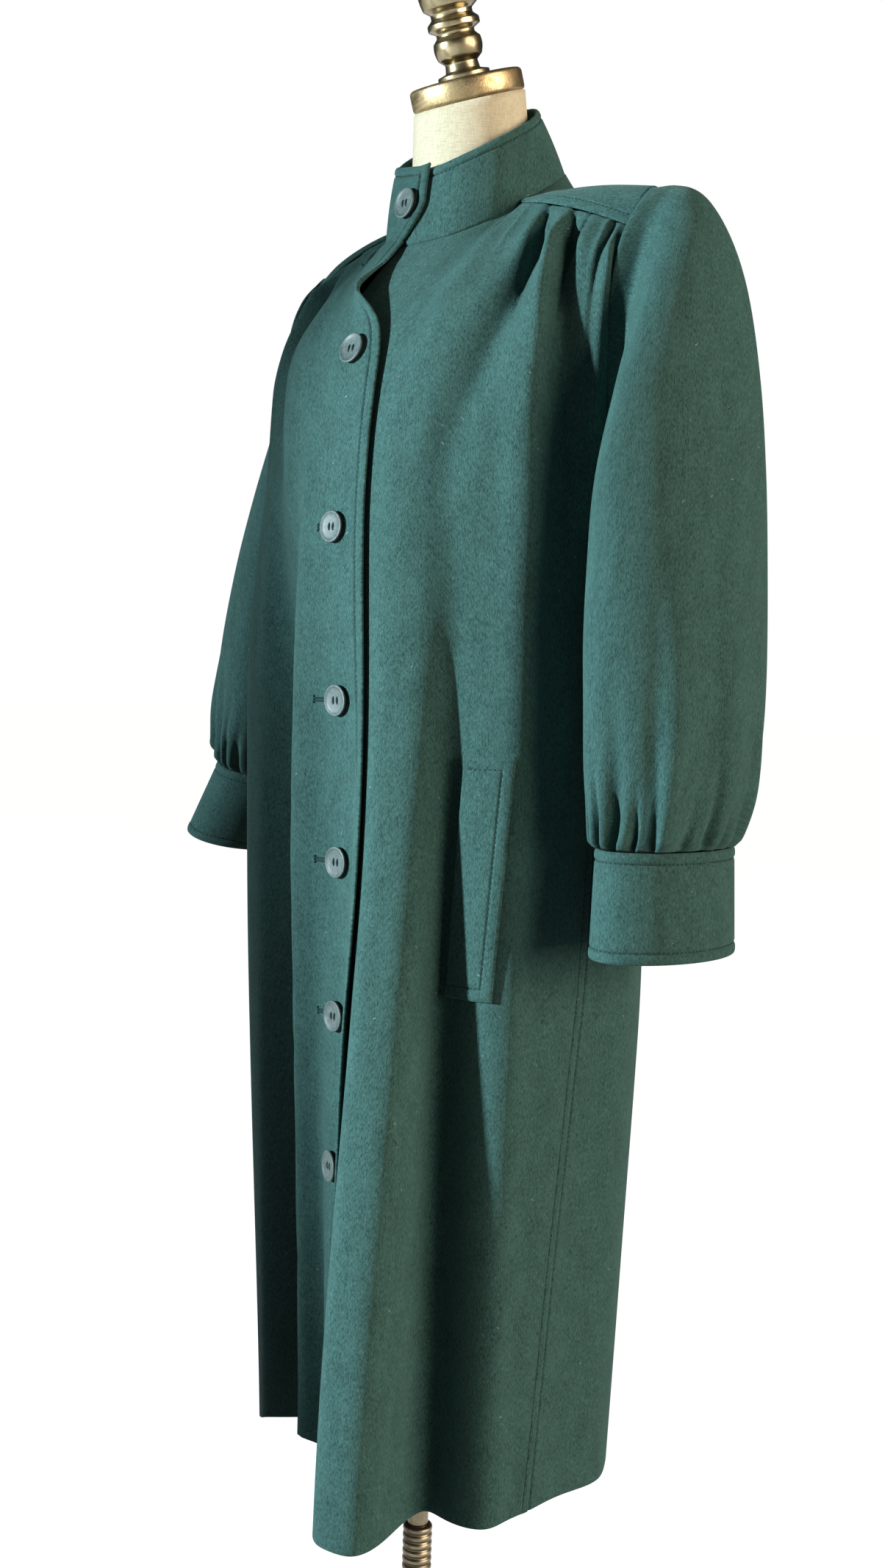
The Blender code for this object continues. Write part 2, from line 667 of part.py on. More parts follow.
# Pieces that meet at a seam lean the same way there, so their edges stay parallel.
first = FRONT_ROWS.index(0.24)
for out, column in ((left_out, 0), (right_out, -1)):
    shared = unit(out[first:, -1] + back_out[5:, column])
    out[first:, -1] = shared
    back_out[5:, column] = shared
seam_along = np.clip((FRONT_ACROSS[NECK_COLUMNS:] - NECK_SHARE) / (1 - NECK_SHARE), 0.01, 0.99)
left_out[0, NECK_COLUMNS:] = yoke_seam_normal(seam_along, LEFT)
right_out[0, NECK_COLUMNS:] = yoke_seam_normal(seam_along, RIGHT)
yoke_rows = np.clip(np.linspace(0, 1, YOKE_ACROSS), 0.01, 0.99)
yoke_out[:, 0] = yoke_seam_normal(yoke_rows, LEFT)
yoke_out[:, -1] = yoke_seam_normal(yoke_rows, RIGHT)
back_out[0] = body_normal(angle_of(back_face[0]), np.full(BACK_COLUMNS, BACK_YOKE))
at_back = yoke_grid[-1, :, 2] < BACK_YOKE + 0.002
yoke_out[-1, at_back] = body_normal(angle_of(yoke_grid[-1, at_back]), np.full(at_back.sum(), BACK_YOKE))

wall("front_left", trim(left_face, top=SEAM, end=SEAM), CLOTH, WOOL, normals=left_out)
wall("front_right", trim(right_face, top=SEAM, end=SEAM), CLOTH, WOOL, normals=right_out)
wall("back", trim(back_face, top=0.0008), CLOTH, WOOL, normals=back_out)
wall("yoke", trim(yoke_grid, start=SEAM, end=SEAM), CLOTH, WOOL, normals=yoke_out)
collar_grid = collar_face()
wall("collar", collar_grid, DOUBLE, WOOL, normals=grid_normals(collar_grid))

for side, face, label in ((LEFT, left_face, "left"), (RIGHT, right_face, "right")):
    welt, out = welt_face(side, face)
    wall("welt_" + label, welt, DOUBLE, WOOL, normals=out)

for side, face, table, label, swing, gap in (
    (LEFT, left_face, SLEEVE_LEFT, "left", (0.06, -0.06, 0.0), 0.0006),
    (RIGHT, right_face, SLEEVE_RIGHT, "right", (0.34, 0.0, 0.0), 0.0012),
):
    loop = armhole(side, face, back_face, yoke_grid)
    sleeve = sleeve_face(side, loop, table)
    out = side * grid_normals(sleeve, True)
    flat = sleeve[0] - sleeve[0].mean(0)
    flat[:, 0] = 0.0
    out[0] = unit(flat)
    wall("sleeve_" + label, sleeve, CLOTH, WOOL, closed=True, normals=out)
    cuff = cuff_face(side, table, swing, gap)
    wall("cuff_" + label, cuff, DOUBLE, WOOL, closed=True, normals=side * grid_normals(cuff, True))


# The dress form: level sections that tip forward at the neck.
TORSO = {
    "height": (
        0.72, 0.735, 0.80, 0.88, 0.96, 1.04, 1.12, 1.20, 1.26,
        1.30, 1.33, 1.352, 1.372, 1.395, 1.425, 1.46, 1.4995,
    ),
    "half_width": (
        0.112, 0.120, 0.134, 0.138, 0.130, 0.114, 0.122, 0.136, 0.148,
        0.154, 0.150, 0.128, 0.080, 0.057, 0.053, 0.050, 0.0475,
    ),
    "half_depth": (
        0.082, 0.088, 0.098, 0.102, 0.096, 0.088, 0.096, 0.098, 0.086,
        0.070, 0.054, 0.042, 0.044, 0.050, 0.052, 0.050, 0.0475,
    ),
    "back": (
        0.012, 0.013, 0.016, 0.020, 0.018, 0.014, 0.010, 0.012, 0.016,
        0.020, 0.022, 0.024, 0.024, 0.020, 0.016, 0.012, 0.0085,
    ),
    "tip": (
        0, 0, 0, 0, 0, 0, 0, 0, 0,
        0, 0, 0.04, 0.10, 0.18, 0.26, 0.32, 0.364,
    ),
}
TORSO_POINTS = 28


def torso():
    """The closed linen torso."""
    around = np.linspace(0, 2 * math.pi, TORSO_POINTS, endpoint=False)
    points = []
    for height, wide, deep, back, tip in zip(*TORSO.values()):
        y = deep * np.sin(around)
        ring = np.stack([wide * np.cos(around), back + y, height + tip * y], -1)
        points.append(ring)
    points = np.concatenate(points)
    faces = []
    levels = len(TORSO["height"])
    for level in range(levels - 1):
        for step in range(TORSO_POINTS):
            a = level * TORSO_POINTS + step
            b = level * TORSO_POINTS + (step + 1) % TORSO_POINTS
            faces.append((a, b, b + TORSO_POINTS, a + TORSO_POINTS))
    faces.append(tuple(range(TORSO_POINTS))[::-1])
    faces.append(tuple(range((levels - 1) * TORSO_POINTS, levels * TORSO_POINTS)))
    return solid("form_torso", points, faces, LINEN)


torso()
CAP_TILT = math.radians(20.0)
cap_place = Matrix.Translation((0.0, 0.0085, 1.4995)) @ Matrix.Rotation(CAP_TILT, 4, "X")
CAP = ((0, 0.0003), (0.046, 0.0003), (0.049, 0.0025), (0.049, 0.0165), (0.047, 0.0190), (0, 0.0190))
lathe("form_cap", CAP, 32, cap_place, BRASS)
FINIAL = (
    (0, 0.0193), (0.0225, 0.0193), (0.0225, 0.0240), (0.0150, 0.0260), (0.0140, 0.0330),
    (0.0190, 0.0370), (0.0215, 0.0440), (0.0205, 0.0510), (0.0165, 0.0550), (0.0165, 0.0580),
    (0.0225, 0.0610), (0.0225, 0.0660), (0.0180, 0.0700), (0.0180, 0.0740), (0.0235, 0.0780),
    (0.0260, 0.0880), (0.0250, 0.0980), (0.0190, 0.1080), (0.0140, 0.1130), (0.0165, 0.1180),
    (0.0150, 0.1260), (0.0080, 0.1310), (0, 0.1320),
)
lathe("form_finial", FINIAL, 14, cap_place, BRASS)

straight = Matrix.Identity(4)
lathe("form_tube", ((0, 0.2403), (0.0093, 0.2403), (0.0093, 0.7197), (0, 0.7197)), 16, straight, BRASS)
post = [(0, 0.0263), (0.0135, 0.0263)]
RINGS = 10
PITCH = 0.0072
low_ring = 0.240 - RINGS * PITCH
for ring in range(RINGS):
    level = low_ring + ring * PITCH
    post.extend([(0.0118, level), (0.0131, level + 0.0022), (0.0131, level + 0.0052)])
post.extend([(0.0118, 0.240), (0, 0.240)])
lathe("form_post", post, 12, straight, BRASS)
BASE = (
    (0, 0.0), (0.215, 0.0), (0.220, 0.005), (0.218, 0.012),
    (0.150, 0.018), (0.040, 0.022), (0.036, 0.026), (0, 0.026),
)
lathe("form_base", BASE, 32, straight, IRON)


# Buttons lie on the lap; each sits on the cloth below it along the cloth's own normal.
BUTTON = (
    (0, 0.0), (0.0060, 0.0), (0.0125, 0.0016), (0.0132, 0.0029),
    (0.0119, 0.0039), (0.0100, 0.0029), (0, 0.0025),
)
BUTTONS = {
    "level": (1.272, 1.126, 0.985, 0.852, 0.724, 0.598),
    "across": (0.002, 0.007, 0.016, 0.019, 0.020, 0.021),
    "lift": (0.0010, 0.0010, 0.0010, 0.0010, 0.0014, 0.0014),
}
BUTTON_REACH = 0.010
COLLAR_BUTTON_LIFT = 0.0010


def seat(grid, level, side):
    """A place on the lap's outer face at a height and sideways offset: its point and outward normal."""
    columns = grid[::-1, 11::-1]

    def spot(height, at):
        line = [
            [np.interp(height, column[:, 2], column[:, axis]) for axis in range(3)]
            for column in columns.transpose(1, 0, 2)
        ]
        line = np.array(line)
        return Vector([np.interp(at, line[:, 0], line[:, axis]) for axis in range(3)])

    across = spot(level, side + BUTTON_REACH) - spot(level, side - BUTTON_REACH)
    down = spot(level - BUTTON_REACH, side) - spot(level + BUTTON_REACH, side)
    return spot(level, side), down.cross(across).normalized()


def button(number, point, normal, lift):
    """One button, its back just clear of the cloth."""
    turn = Vector((0, 0, 1)).rotation_difference(normal).to_matrix().to_4x4()
    place = Matrix.Translation(point + normal * lift) @ turn
    lathe("button_" + str(number), BUTTON, 14, place, HORN)


collar_point, collar_normal = seat(collar_grid[::-1, ::-1], 1.403, -0.008)
button(1, collar_point, collar_normal, COLLAR_BUTTON_LIFT)
for number, (level, across, lift) in enumerate(zip(*BUTTONS.values()), 2):
    point, normal = seat(right_face, level, across)
    button(number, point, normal, lift)
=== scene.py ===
"""Looks of a long wool coat on a linen dress form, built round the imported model.

Metres, +Z up.  The coat's front faces -Y and its left side faces +X.
"""
import math

import bpy
import numpy as np
from mathutils import Matrix, Vector


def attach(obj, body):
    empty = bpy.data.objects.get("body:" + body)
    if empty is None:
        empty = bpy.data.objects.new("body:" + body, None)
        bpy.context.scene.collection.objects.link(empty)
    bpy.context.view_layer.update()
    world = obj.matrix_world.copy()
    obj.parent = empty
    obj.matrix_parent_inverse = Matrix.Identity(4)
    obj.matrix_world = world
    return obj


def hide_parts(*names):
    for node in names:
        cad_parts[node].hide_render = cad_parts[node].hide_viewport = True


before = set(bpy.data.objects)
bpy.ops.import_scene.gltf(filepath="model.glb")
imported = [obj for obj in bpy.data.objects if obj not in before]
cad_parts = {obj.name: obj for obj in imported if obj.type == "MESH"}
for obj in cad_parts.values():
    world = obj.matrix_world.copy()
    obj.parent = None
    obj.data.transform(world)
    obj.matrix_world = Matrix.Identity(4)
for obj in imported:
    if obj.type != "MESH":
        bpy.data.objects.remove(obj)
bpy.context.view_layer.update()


# The foot: a round cast-iron plate, turned on its top and edge and painted dark.
# It lies on the floor and carries the post on a low boss at its middle.
FOOT = ((0.215, 0.0), (0.220, 0.005), (0.218, 0.012), (0.150, 0.018), (0.040, 0.022), (0.036, 0.026))


def turned(name, profile, segments, edge, rounds=0):
    """A turned piece: one ring drawn along a profile of radii and heights, closed at both ends."""
    bpy.ops.object.select_all(action="DESELECT")
    radius, level = profile[0]
    bpy.ops.mesh.primitive_circle_add(vertices=segments, radius=radius, location=(0, 0, 0))
    made = bpy.context.object
    made.name = name
    made.data.name = name
    bpy.ops.object.mode_set(mode="EDIT")
    bpy.ops.mesh.select_all(action="SELECT")
    bpy.ops.transform.translate(value=(0, 0, level))
    for next_radius, next_level in profile[1:]:
        bpy.ops.mesh.extrude_region_move(TRANSFORM_OT_translate={"value": (0, 0, next_level - level)})
        size = next_radius / radius
        bpy.ops.transform.resize(value=(size, size, 1), center_override=(0, 0, next_level))
        radius, level = next_radius, next_level
    bpy.ops.mesh.select_all(action="SELECT")
    bpy.ops.mesh.fill_holes(sides=0)
    bpy.ops.mesh.select_all(action="SELECT")
    bpy.ops.mesh.normals_make_consistent(inside=False)
    bpy.ops.object.mode_set(mode="OBJECT")
    bevel = made.modifiers.new("edge", "BEVEL")
    bevel.width = edge
    bevel.segments = 2
    bevel.limit_method = "ANGLE"
    bevel.angle_limit = math.radians(28.0)
    bpy.ops.object.modifier_apply(modifier="edge")
    if rounds:
        smooth = made.modifiers.new("rounds", "SUBSURF")
        smooth.levels = rounds
        smooth.render_levels = rounds
        bpy.ops.object.modifier_apply(modifier="rounds")
    bpy.ops.object.shade_smooth_by_angle(angle=math.radians(42.0))
    return made


class Tone:
    """One value of a finish; sums and products of it add Math nodes."""

    def __init__(self, finish, socket):
        self.finish = finish
        self.socket = socket

    def maths(self, operation, first, second, held=False):
        settings = {"operation": operation, "use_clamp": held}
        return self.finish.node("ShaderNodeMath", settings, {0: first, 1: second})

    def __add__(self, other):
        return self.maths("ADD", self, other)

    def __radd__(self, other):
        return self.maths("ADD", other, self)

    def __sub__(self, other):
        return self.maths("SUBTRACT", self, other)

    def __rsub__(self, other):
        return self.maths("SUBTRACT", other, self)

    def __mul__(self, other):
        return self.maths("MULTIPLY", self, other)

    def __rmul__(self, other):
        return self.maths("MULTIPLY", other, self)

    def held(self):
        """The value kept between 0 and 1."""
        return self.maths("ADD", self, 0.0, True)

    def past(self, start, end):
        """0 before start and 1 after end, straight between."""
        return ((self - start) * (1.0 / (end - start))).held()


class Finish:
    """One finish: a Principled shader, its constants and the nodes that feed it."""

    def __init__(self, name, constants, cloth=False):
        self.material = bpy.data.materials.new(name)
        self.material.use_nodes = True
        self.tree = self.material.node_tree
        self.shader = self.tree.nodes["Principled BSDF"]
        for socket, value in constants.items():
            self.shader.inputs[socket].default_value = value
        if cloth:
            self.place = self.node("ShaderNodeUVMap", {"uv_map": "cloth"})
        else:
            self.place = self.node("ShaderNodeTexCoord", output="Object")

    def node(self, kind, settings=None, inputs=None, output=0):
        """A node with its settings, then the values or links of its sockets."""
        made = self.tree.nodes.new(kind)
        for key, value in (settings or {}).items():
            setattr(made, key, value)
        for key, value in (inputs or {}).items():
            if isinstance(value, Tone):
                self.tree.links.new(value.socket, made.inputs[key])
            else:
                made.inputs[key].default_value = value
        return Tone(self, made.outputs[output])

    def noise(self, stretch, detail=2.0, turn=0.0, bend=0.0):
        """Uneven cloudy values; stretch gives how many clouds to the metre each way."""
        turned_place = {"Vector": self.place, "Rotation": (0.0, 0.0, turn)}
        place = self.node("ShaderNodeMapping", None, turned_place)
        place = self.node("ShaderNodeMapping", None, {"Vector": place, "Scale": stretch})
        sockets = {"Vector": place, "Scale": 1.0, "Detail": detail, "Distortion": bend}
        return self.node("ShaderNodeTexNoise", None, sockets)

    def mix(self, share, low, high):
        """A colour between two colours."""
        return self.node("ShaderNodeMix", {"data_type": "RGBA"}, {0: share, 6: low, 7: high}, 2)

    def bump(self, height, distance, strength=1.0):
        """Feed small relief to the shader."""
        sockets = {"Height": height, "Distance": distance, "Strength": strength}
        self.feed("Normal", self.node("ShaderNodeBump", None, sockets))

    def feed(self, socket, tone):
        """Link a value or a colour to the shader."""
        self.tree.links.new(tone.socket, self.shader.inputs[socket])


def dress(piece, finish, slot, *nodes):
    """Give a piece its finish and fix it to the object."""
    piece.data.materials.clear()
    piece.data.materials.append(finish.material)
    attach(piece, "root")
    if nodes:
        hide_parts(*nodes)


iron = Finish("painted_iron", {"Metallic": 0.0})
pits = iron.noise((420.0, 420.0, 420.0), 3.0)
wear = iron.noise((26.0, 26.0, 26.0), 4.0).past(0.48, 0.72)
iron.feed("Base Color", iron.mix(wear, (0.010, 0.010, 0.011, 1.0), (0.024, 0.022, 0.020, 1.0)))
iron.feed("Roughness", 0.42 + 0.25 * pits)
iron.bump(pits, 0.0006, 0.6)
foot = turned("foot", FOOT, 128, 0.0016)
dress(foot, iron, "dark_iron", "form_base")


# The post: a short brass tube turned with close rings, screwed into the foot.
# A plainer inner tube slides in its mouth and carries the torso.
POST_FOOT = 0.0263
POST_TOP = 0.240
RINGS = 10
PITCH = 0.0072
POST_RING = ((0.0116, 0.0), (0.0131, 0.0018), (0.0134, 0.0036), (0.0131, 0.0054))
post_profile = [(0.0135, POST_FOOT), (0.0135, POST_TOP - RINGS * PITCH - 0.003)]
for ring in range(RINGS):
    level = POST_TOP - (RINGS - ring) * PITCH
    post_profile += [(radius, level + above) for radius, above in POST_RING]
post_profile += [(0.0116, POST_TOP - 0.0006), (0.0104, POST_TOP)]
TUBE = ((0.0088, 0.2403), (0.0093, 0.2412), (0.0093, 0.7190), (0.0088, 0.7197))

brass = Finish("aged_brass", {"Metallic": 1.0})
tarnish = brass.noise((34.0, 34.0, 20.0), 5.0, 0.0, 0.6).past(0.42, 0.68)
rubbed = brass.noise((190.0, 14.0, 190.0), 3.0, 0.5)
brass_colour = brass.mix(tarnish, (0.23, 0.188, 0.125, 1.0), (0.088, 0.070, 0.047, 1.0))
brass.feed("Base Color", brass.mix(rubbed.past(0.56, 0.74) * 0.5, brass_colour, (0.32, 0.285, 0.215, 1.0)))
brass.feed("Roughness", 0.30 + 0.16 * tarnish + 0.12 * rubbed)
brass.bump(rubbed, 0.00012, 0.5)
post = turned("ringed_post", post_profile, 64, 0.0004)
dress(post, brass, "aged_brass", "form_post")
tube = turned("inner_tube", TUBE, 64, 0.0003)
dress(tube, brass, "aged_brass", "form_tube")


# The torso: a padded shell covered in tightly stretched cream linen, closed at its base.
# Its neck tips forward to a flat top; seams run down its front, back and sides.
TORSO = {
    "height": (
        0.72, 0.735, 0.80, 0.88, 0.96, 1.04, 1.12, 1.20, 1.26,
        1.30, 1.33, 1.352, 1.372, 1.395, 1.425, 1.46, 1.4995,
    ),
    "half_width": (
        0.112, 0.120, 0.134, 0.138, 0.130, 0.114, 0.122, 0.136, 0.148,
        0.154, 0.150, 0.128, 0.080, 0.057, 0.053, 0.050, 0.0475,
    ),
    "half_depth": (
        0.082, 0.088, 0.098, 0.102, 0.096, 0.088, 0.096, 0.098, 0.086,
        0.070, 0.054, 0.042, 0.044, 0.050, 0.052, 0.050, 0.0475,
    ),
    "back": (
        0.012, 0.013, 0.016, 0.020, 0.018, 0.014, 0.010, 0.012, 0.016,
        0.020, 0.022, 0.024, 0.024, 0.020, 0.016, 0.012, 0.0085,
    ),
    "tip": (
        0, 0, 0, 0, 0, 0, 0, 0, 0,
        0, 0, 0.04, 0.10, 0.18, 0.26, 0.32, 0.364,
    ),
}
TORSO_POINTS = 120
TORSO_RINGS = 130
SEAM_SUNK = 0.010
SEAM_WIDE = 0.05


def curve(table, column, at):
    """A smooth value from one named column of a table, read along its first column."""
    keys = np.array(table[next(iter(table))], float)
    values = np.array(table[column], float)
    at = np.clip(np.asarray(at, float), keys[0], keys[-1])
    slopes = np.gradient(values, keys)
    place = np.clip(np.searchsorted(keys, at, side="right") - 1, 0, len(keys) - 2)
    step = keys[place + 1] - keys[place]
    t = (at - keys[place]) / step
    start = values[place] * (1 + 2 * t) * (1 - t) ** 2 + slopes[place] * step * t * (1 - t) ** 2
    end = values[place + 1] * t * t * (3 - 2 * t) + slopes[place + 1] * step * t * t * (t - 1)
    return start + end


def mesh_piece(name, points, faces, uvs=None):
    """A smooth mesh object from points, faces and, for cloth, the corners' places on the flat cut."""
    mesh = bpy.data.meshes.new(name)
    mesh.from_pydata([tuple(point) for point in np.asarray(points).tolist()], [], faces)
    mesh.polygons.foreach_set("use_smooth", [True] * len(mesh.polygons))
    if uvs is not None:
        layer = mesh.uv_layers.new(name="cloth")
        layer.data.foreach_set("uv", np.asarray(uvs, float).ravel())
    made = bpy.data.objects.new(name, mesh)
    bpy.context.collection.objects.link(made)
    return made


def torso_mesh():
    """The closed linen torso, ring by ring from its base to its neck."""
    around = np.linspace(0, 2 * math.pi, TORSO_POINTS, endpoint=False)
    levels = np.linspace(TORSO["height"][0], TORSO["height"][-1], TORSO_RINGS)
    shrink = 1 - SEAM_SUNK * np.exp(-(np.sin(2 * around) / SEAM_WIDE) ** 2)
    points = []
    for level in levels:
        wide, deep, back, tip = (float(curve(TORSO, name, level)) for name in list(TORSO)[1:])
        y = deep * np.sin(around) * shrink
        points.append(np.stack([wide * np.cos(around) * shrink, back + y, level + tip * y], -1))
    points = np.concatenate(points)
    faces = []
    for ring in range(TORSO_RINGS - 1):
        for step in range(TORSO_POINTS):
            a = ring * TORSO_POINTS + step
            b = ring * TORSO_POINTS + (step + 1) % TORSO_POINTS
            faces.append((a, b, b + TORSO_POINTS, a + TORSO_POINTS))
    faces.append(tuple(range(TORSO_POINTS))[::-1])
    last = (TORSO_RINGS - 1) * TORSO_POINTS
    faces.append(tuple(range(last, last + TORSO_POINTS)))
    return mesh_piece("linen_torso", points, faces)


linen = Finish("cream_linen", {"Sheen Weight": 0.1})
warp = linen.noise((1500.0, 1500.0, 160.0), 2.0)
weft = linen.noise((150.0, 150.0, 1700.0), 2.0)
slub = linen.noise((70.0, 70.0, 420.0), 3.0).past(0.55, 0.75)
weave = 0.5 * (warp + weft)
linen_colour = linen.mix(weave.past(0.36, 0.64), (0.40, 0.345, 0.225, 1.0), (0.57, 0.505, 0.350, 1.0))
linen.feed("Base Color", linen.mix(slub * 0.35, linen_colour, (0.62, 0.56, 0.41, 1.0)))
linen.feed("Roughness", 0.78 + 0.15 * weave)
linen.bump(weave, 0.0005, 0.7)
torso = torso_mesh()
dress(torso, linen, "cream_linen", "form_torso")


# The cap: a thick brushed brass disc that closes the top of the neck and tips forward with it.
# The finial screws into its middle: turned brass under a glossy, slightly olive varnish.
CAP_TILT = math.radians(20.0)
cap_place = Matrix.Translation((0.0, 0.0085, 1.4995)) @ Matrix.Rotation(CAP_TILT, 4, "X")
CAP = (
    (0.046, 0.0003), (0.0485, 0.0018), (0.049, 0.0035),
    (0.049, 0.0158), (0.0482, 0.0178), (0.0465, 0.0190),
)
FINIAL = (
    (0.0225, 0.0193), (0.0225, 0.0240), (0.0150, 0.0260), (0.0140, 0.0330),
    (0.0190, 0.0370), (0.0215, 0.0440), (0.0205, 0.0510), (0.0165, 0.0550), (0.0165, 0.0580),
    (0.0225, 0.0610), (0.0225, 0.0660), (0.0180, 0.0700), (0.0180, 0.0740), (0.0235, 0.0780),
    (0.0260, 0.0880), (0.0250, 0.0980), (0.0190, 0.1080), (0.0140, 0.1130), (0.0165, 0.1180),
    (0.0150, 0.1260), (0.0080, 0.1310), (0.0020, 0.1320),
)
brushed = Finish("brushed_brass", {"Metallic": 1.0})
strokes = brushed.noise((24.0, 900.0, 500.0), 3.0, 0.35)
smears = brushed.noise((16.0, 60.0, 40.0), 4.0, 0.35, 0.8).past(0.44, 0.70)
brushed_colour = brushed.mix(strokes.past(0.35, 0.65), (0.28, 0.205, 0.105, 1.0), (0.44, 0.335, 0.180, 1.0))
brushed.feed("Base Color", brushed.mix(smears * 0.7, brushed_colour, (0.16, 0.115, 0.058, 1.0)))
brushed.feed("Roughness", 0.34 + 0.20 * smears + 0.08 * strokes)
brushed.bump(strokes, 0.0002, 0.5)
cap = turned("neck_cap", CAP, 128, 0.0006)
cap.data.transform(cap_place)
dress(cap, brushed, "aged_brass", "form_cap")

varnished = Finish("varnished_brass", {"Metallic": 1.0, "Coat Weight": 0.35, "Coat Roughness": 0.12})
age = varnished.noise((60.0, 60.0, 40.0), 4.0, 0.0, 0.5).past(0.40, 0.72)
varnished.feed("Base Color", varnished.mix(age, (0.30, 0.245, 0.140, 1.0), (0.125, 0.100, 0.052, 1.0)))
varnished.feed("Roughness", 0.24 + 0.18 * age)
finial = turned("finial", FINIAL, 64, 0.0007, 1)
finial.data.transform(cap_place)
dress(finial, varnished, "aged_brass", "form_finial")


# The back: one wide panel of thick napped wool, cut straight and hung from the yoke to the hem.
# It falls in long soft folds, and its side seams are topstitched a finger's breadth in.
LEFT = 1
RIGHT = -1
CLOTH = 0.0025
DOUBLE = 0.0036
BODY = {
    "height": (0.28, 0.50, 0.75, 0.95, 1.08, 1.16, 1.22, 1.26, 1.34),
    "half_width": (0.145, 0.153, 0.162, 0.166, 0.169, 0.178, 0.186, 0.190, 0.193),
    "front": (0.128, 0.130, 0.128, 0.130, 0.134, 0.131, 0.124, 0.116, 0.086),
    "back": (0.156, 0.164, 0.171, 0.168, 0.157, 0.146, 0.136, 0.128, 0.104),
}
OVAL = 2.2
FOLDS = (
    # name, top angle, hem angle, starts at, full at, push at the hem, width in degrees, flatness
    ("left front crest", 36, 26, 1.20, 0.33, 0.062, 12, 4),
    ("left chest ridge", 27, 26, 1.30, 1.12, 0.008, 12, 2),
    ("left front tuck", 48, 49, 1.24, 0.62, -0.024, 7, 2),
    ("left pocket ridge", 67, 66, 1.29, 1.08, 0.010, 7, 2),
    ("left side ease", 78, 74, 0.95, 0.40, 0.006, 16, 2),
    ("left back ridge", 112, 118, 1.10, 0.70, 0.012, 13, 2),
    ("left back fall", 138, 140, 1.10, 0.70, 0.011, 14, 2),
    ("middle back ridge", 166, 165, 1.10, 0.50, 0.012, 12, 2),
    ("right back hollow", 194, 196, 0.90, 0.40, -0.014, 12, 2),
    ("right back ridge", 222, 224, 1.05, 0.55, 0.012, 14, 2),
    ("right side hollow", 255, 252, 0.95, 0.45, -0.010, 14, 2),
    ("right side crest", 300, 294, 1.26, 0.96, 0.026, 16, 2),
    ("right side fall", 290, 290, 0.90, 0.30, -0.014, 24, 2),
    ("right chest hollow", 285, 285, 1.05, 1.20, -0.010, 20, 2),
    ("right front tuck", 330, 328, 1.24, 0.80, -0.048, 13, 6),
    ("right front ridge", 346, 346, 1.20, 0.90, 0.010, 9, 2),
    ("closing fall", 351, 352, 0.90, 0.33, -0.036, 11, 2),
)
FOLD_TOP = 1.30
UNDERARM = 1.165
UPPER = 0.16
HEM = 0.306
HEM_RISES = (
    # middle angle, width in degrees, rise
    (334.0, 28.0, 0.042),
    (85.0, 40.0, 0.006),
)
JOIN = 1.255
BACK_YOKE = 1.335
ARM_BACK = {
    "height": (1.165, 1.20, 1.26, 1.335),
    "angle": (94.0, 104.0, 109.5, 108.5),
}
SIDE_SEAM = {
    "height": (0.28, 0.50, 0.75, 1.00, 1.165),
    "angle": (80.2, 85.4, 92.3, 94.2, 94.0),
}
STITCH_INSET = 0.0085
STITCH_LOOK = 0.001
STITCH_SIDES = 5
EDGE_STEPS = 5


def ease(value):
    """A smooth step from 0 to 1."""
    value = np.clip(value, 0.0, 1.0)
    return value * value * (3 - 2 * value)


def unit(vectors):
    """Vectors of length 1."""
    length = np.linalg.norm(vectors, axis=-1, keepdims=True)
    return vectors / np.maximum(length, 1e-9)


def turn_off(angle, middle):
    """Degrees from a middle angle, the short way round."""
    return np.mod(angle - middle + 180.0, 360.0) - 180.0


def body_radius(angle, height):
    """Distance of the coat's outer face from the form's axis."""
    angle = np.mod(np.asarray(angle, float), 360.0)
    height = np.asarray(height, float)
    turn = np.radians(angle)
    width = curve(BODY, "half_width", height)
    depth = np.where(np.cos(turn) > 0, curve(BODY, "front", height), curve(BODY, "back", height))
    radius = (np.abs(np.sin(turn) / width) ** OVAL + np.abs(np.cos(turn) / depth) ** OVAL) ** (-1 / OVAL)
    for _, top, hem, start, full, push, width, flat in FOLDS:
        drop = np.clip(FOLD_TOP - height, 0.0, 1.0)
        off = turn_off(angle, top + (hem - top) * drop)
        swell = push * ease((start - height) / (start - full))
        radius = radius + swell * np.exp(-np.abs(off / width) ** flat)
    return radius


def body_point(angle, height, out=0.0):
    """A point of the coat's outer face."""
    radius = body_radius(angle, height) + out
    turn = np.radians(angle)
    return np.stack([radius * np.sin(turn), -radius * np.cos(turn), height + 0 * radius], -1)


def even_angles(start, end, height, shares):
    """Angles that lie at the given shares of the cloth along one level section."""
    fine = np.linspace(start, end, 601)
    points = body_point(fine, np.full_like(fine, height))
    lengths = np.concatenate([[0.0], np.cumsum(np.linalg.norm(np.diff(points, axis=0), axis=1))])
    return np.interp(np.asarray(shares) * lengths[-1], lengths, fine)


def hem_height(angle):
    """Height of the hem round the coat; it rides up a little over the right front tuck."""
    height = HEM
    for middle, width, rise in HEM_RISES:
        off = turn_off(np.asarray(angle, float), middle)
        height = height + rise * np.exp(-(off / width) ** 2)
    return height


def level_of(row):
    """Height of a body row, before the hem's own rise and fall."""
    return JOIN + (HEM - JOIN) * (np.asarray(row) - UPPER) / (1 - UPPER)


def grid_normals(grid, closed=False):
    """Normals of a grid of points, rows by columns."""
    if closed:
        across = np.roll(grid, -1, 1) - np.roll(grid, 1, 1)
    else:
        across = np.gradient(grid, axis=1)
    down = np.gradient(grid, axis=0)
    return unit(np.cross(across, down))


def run_of(grid, axis):
    """Length of cloth from the first row or column to each point."""
    steps = np.linalg.norm(np.diff(grid, axis=axis), axis=-1)
    first = np.zeros_like(np.take(steps, [0], axis=axis))
    return np.concatenate([first, np.cumsum(steps, axis=axis)], axis=axis)


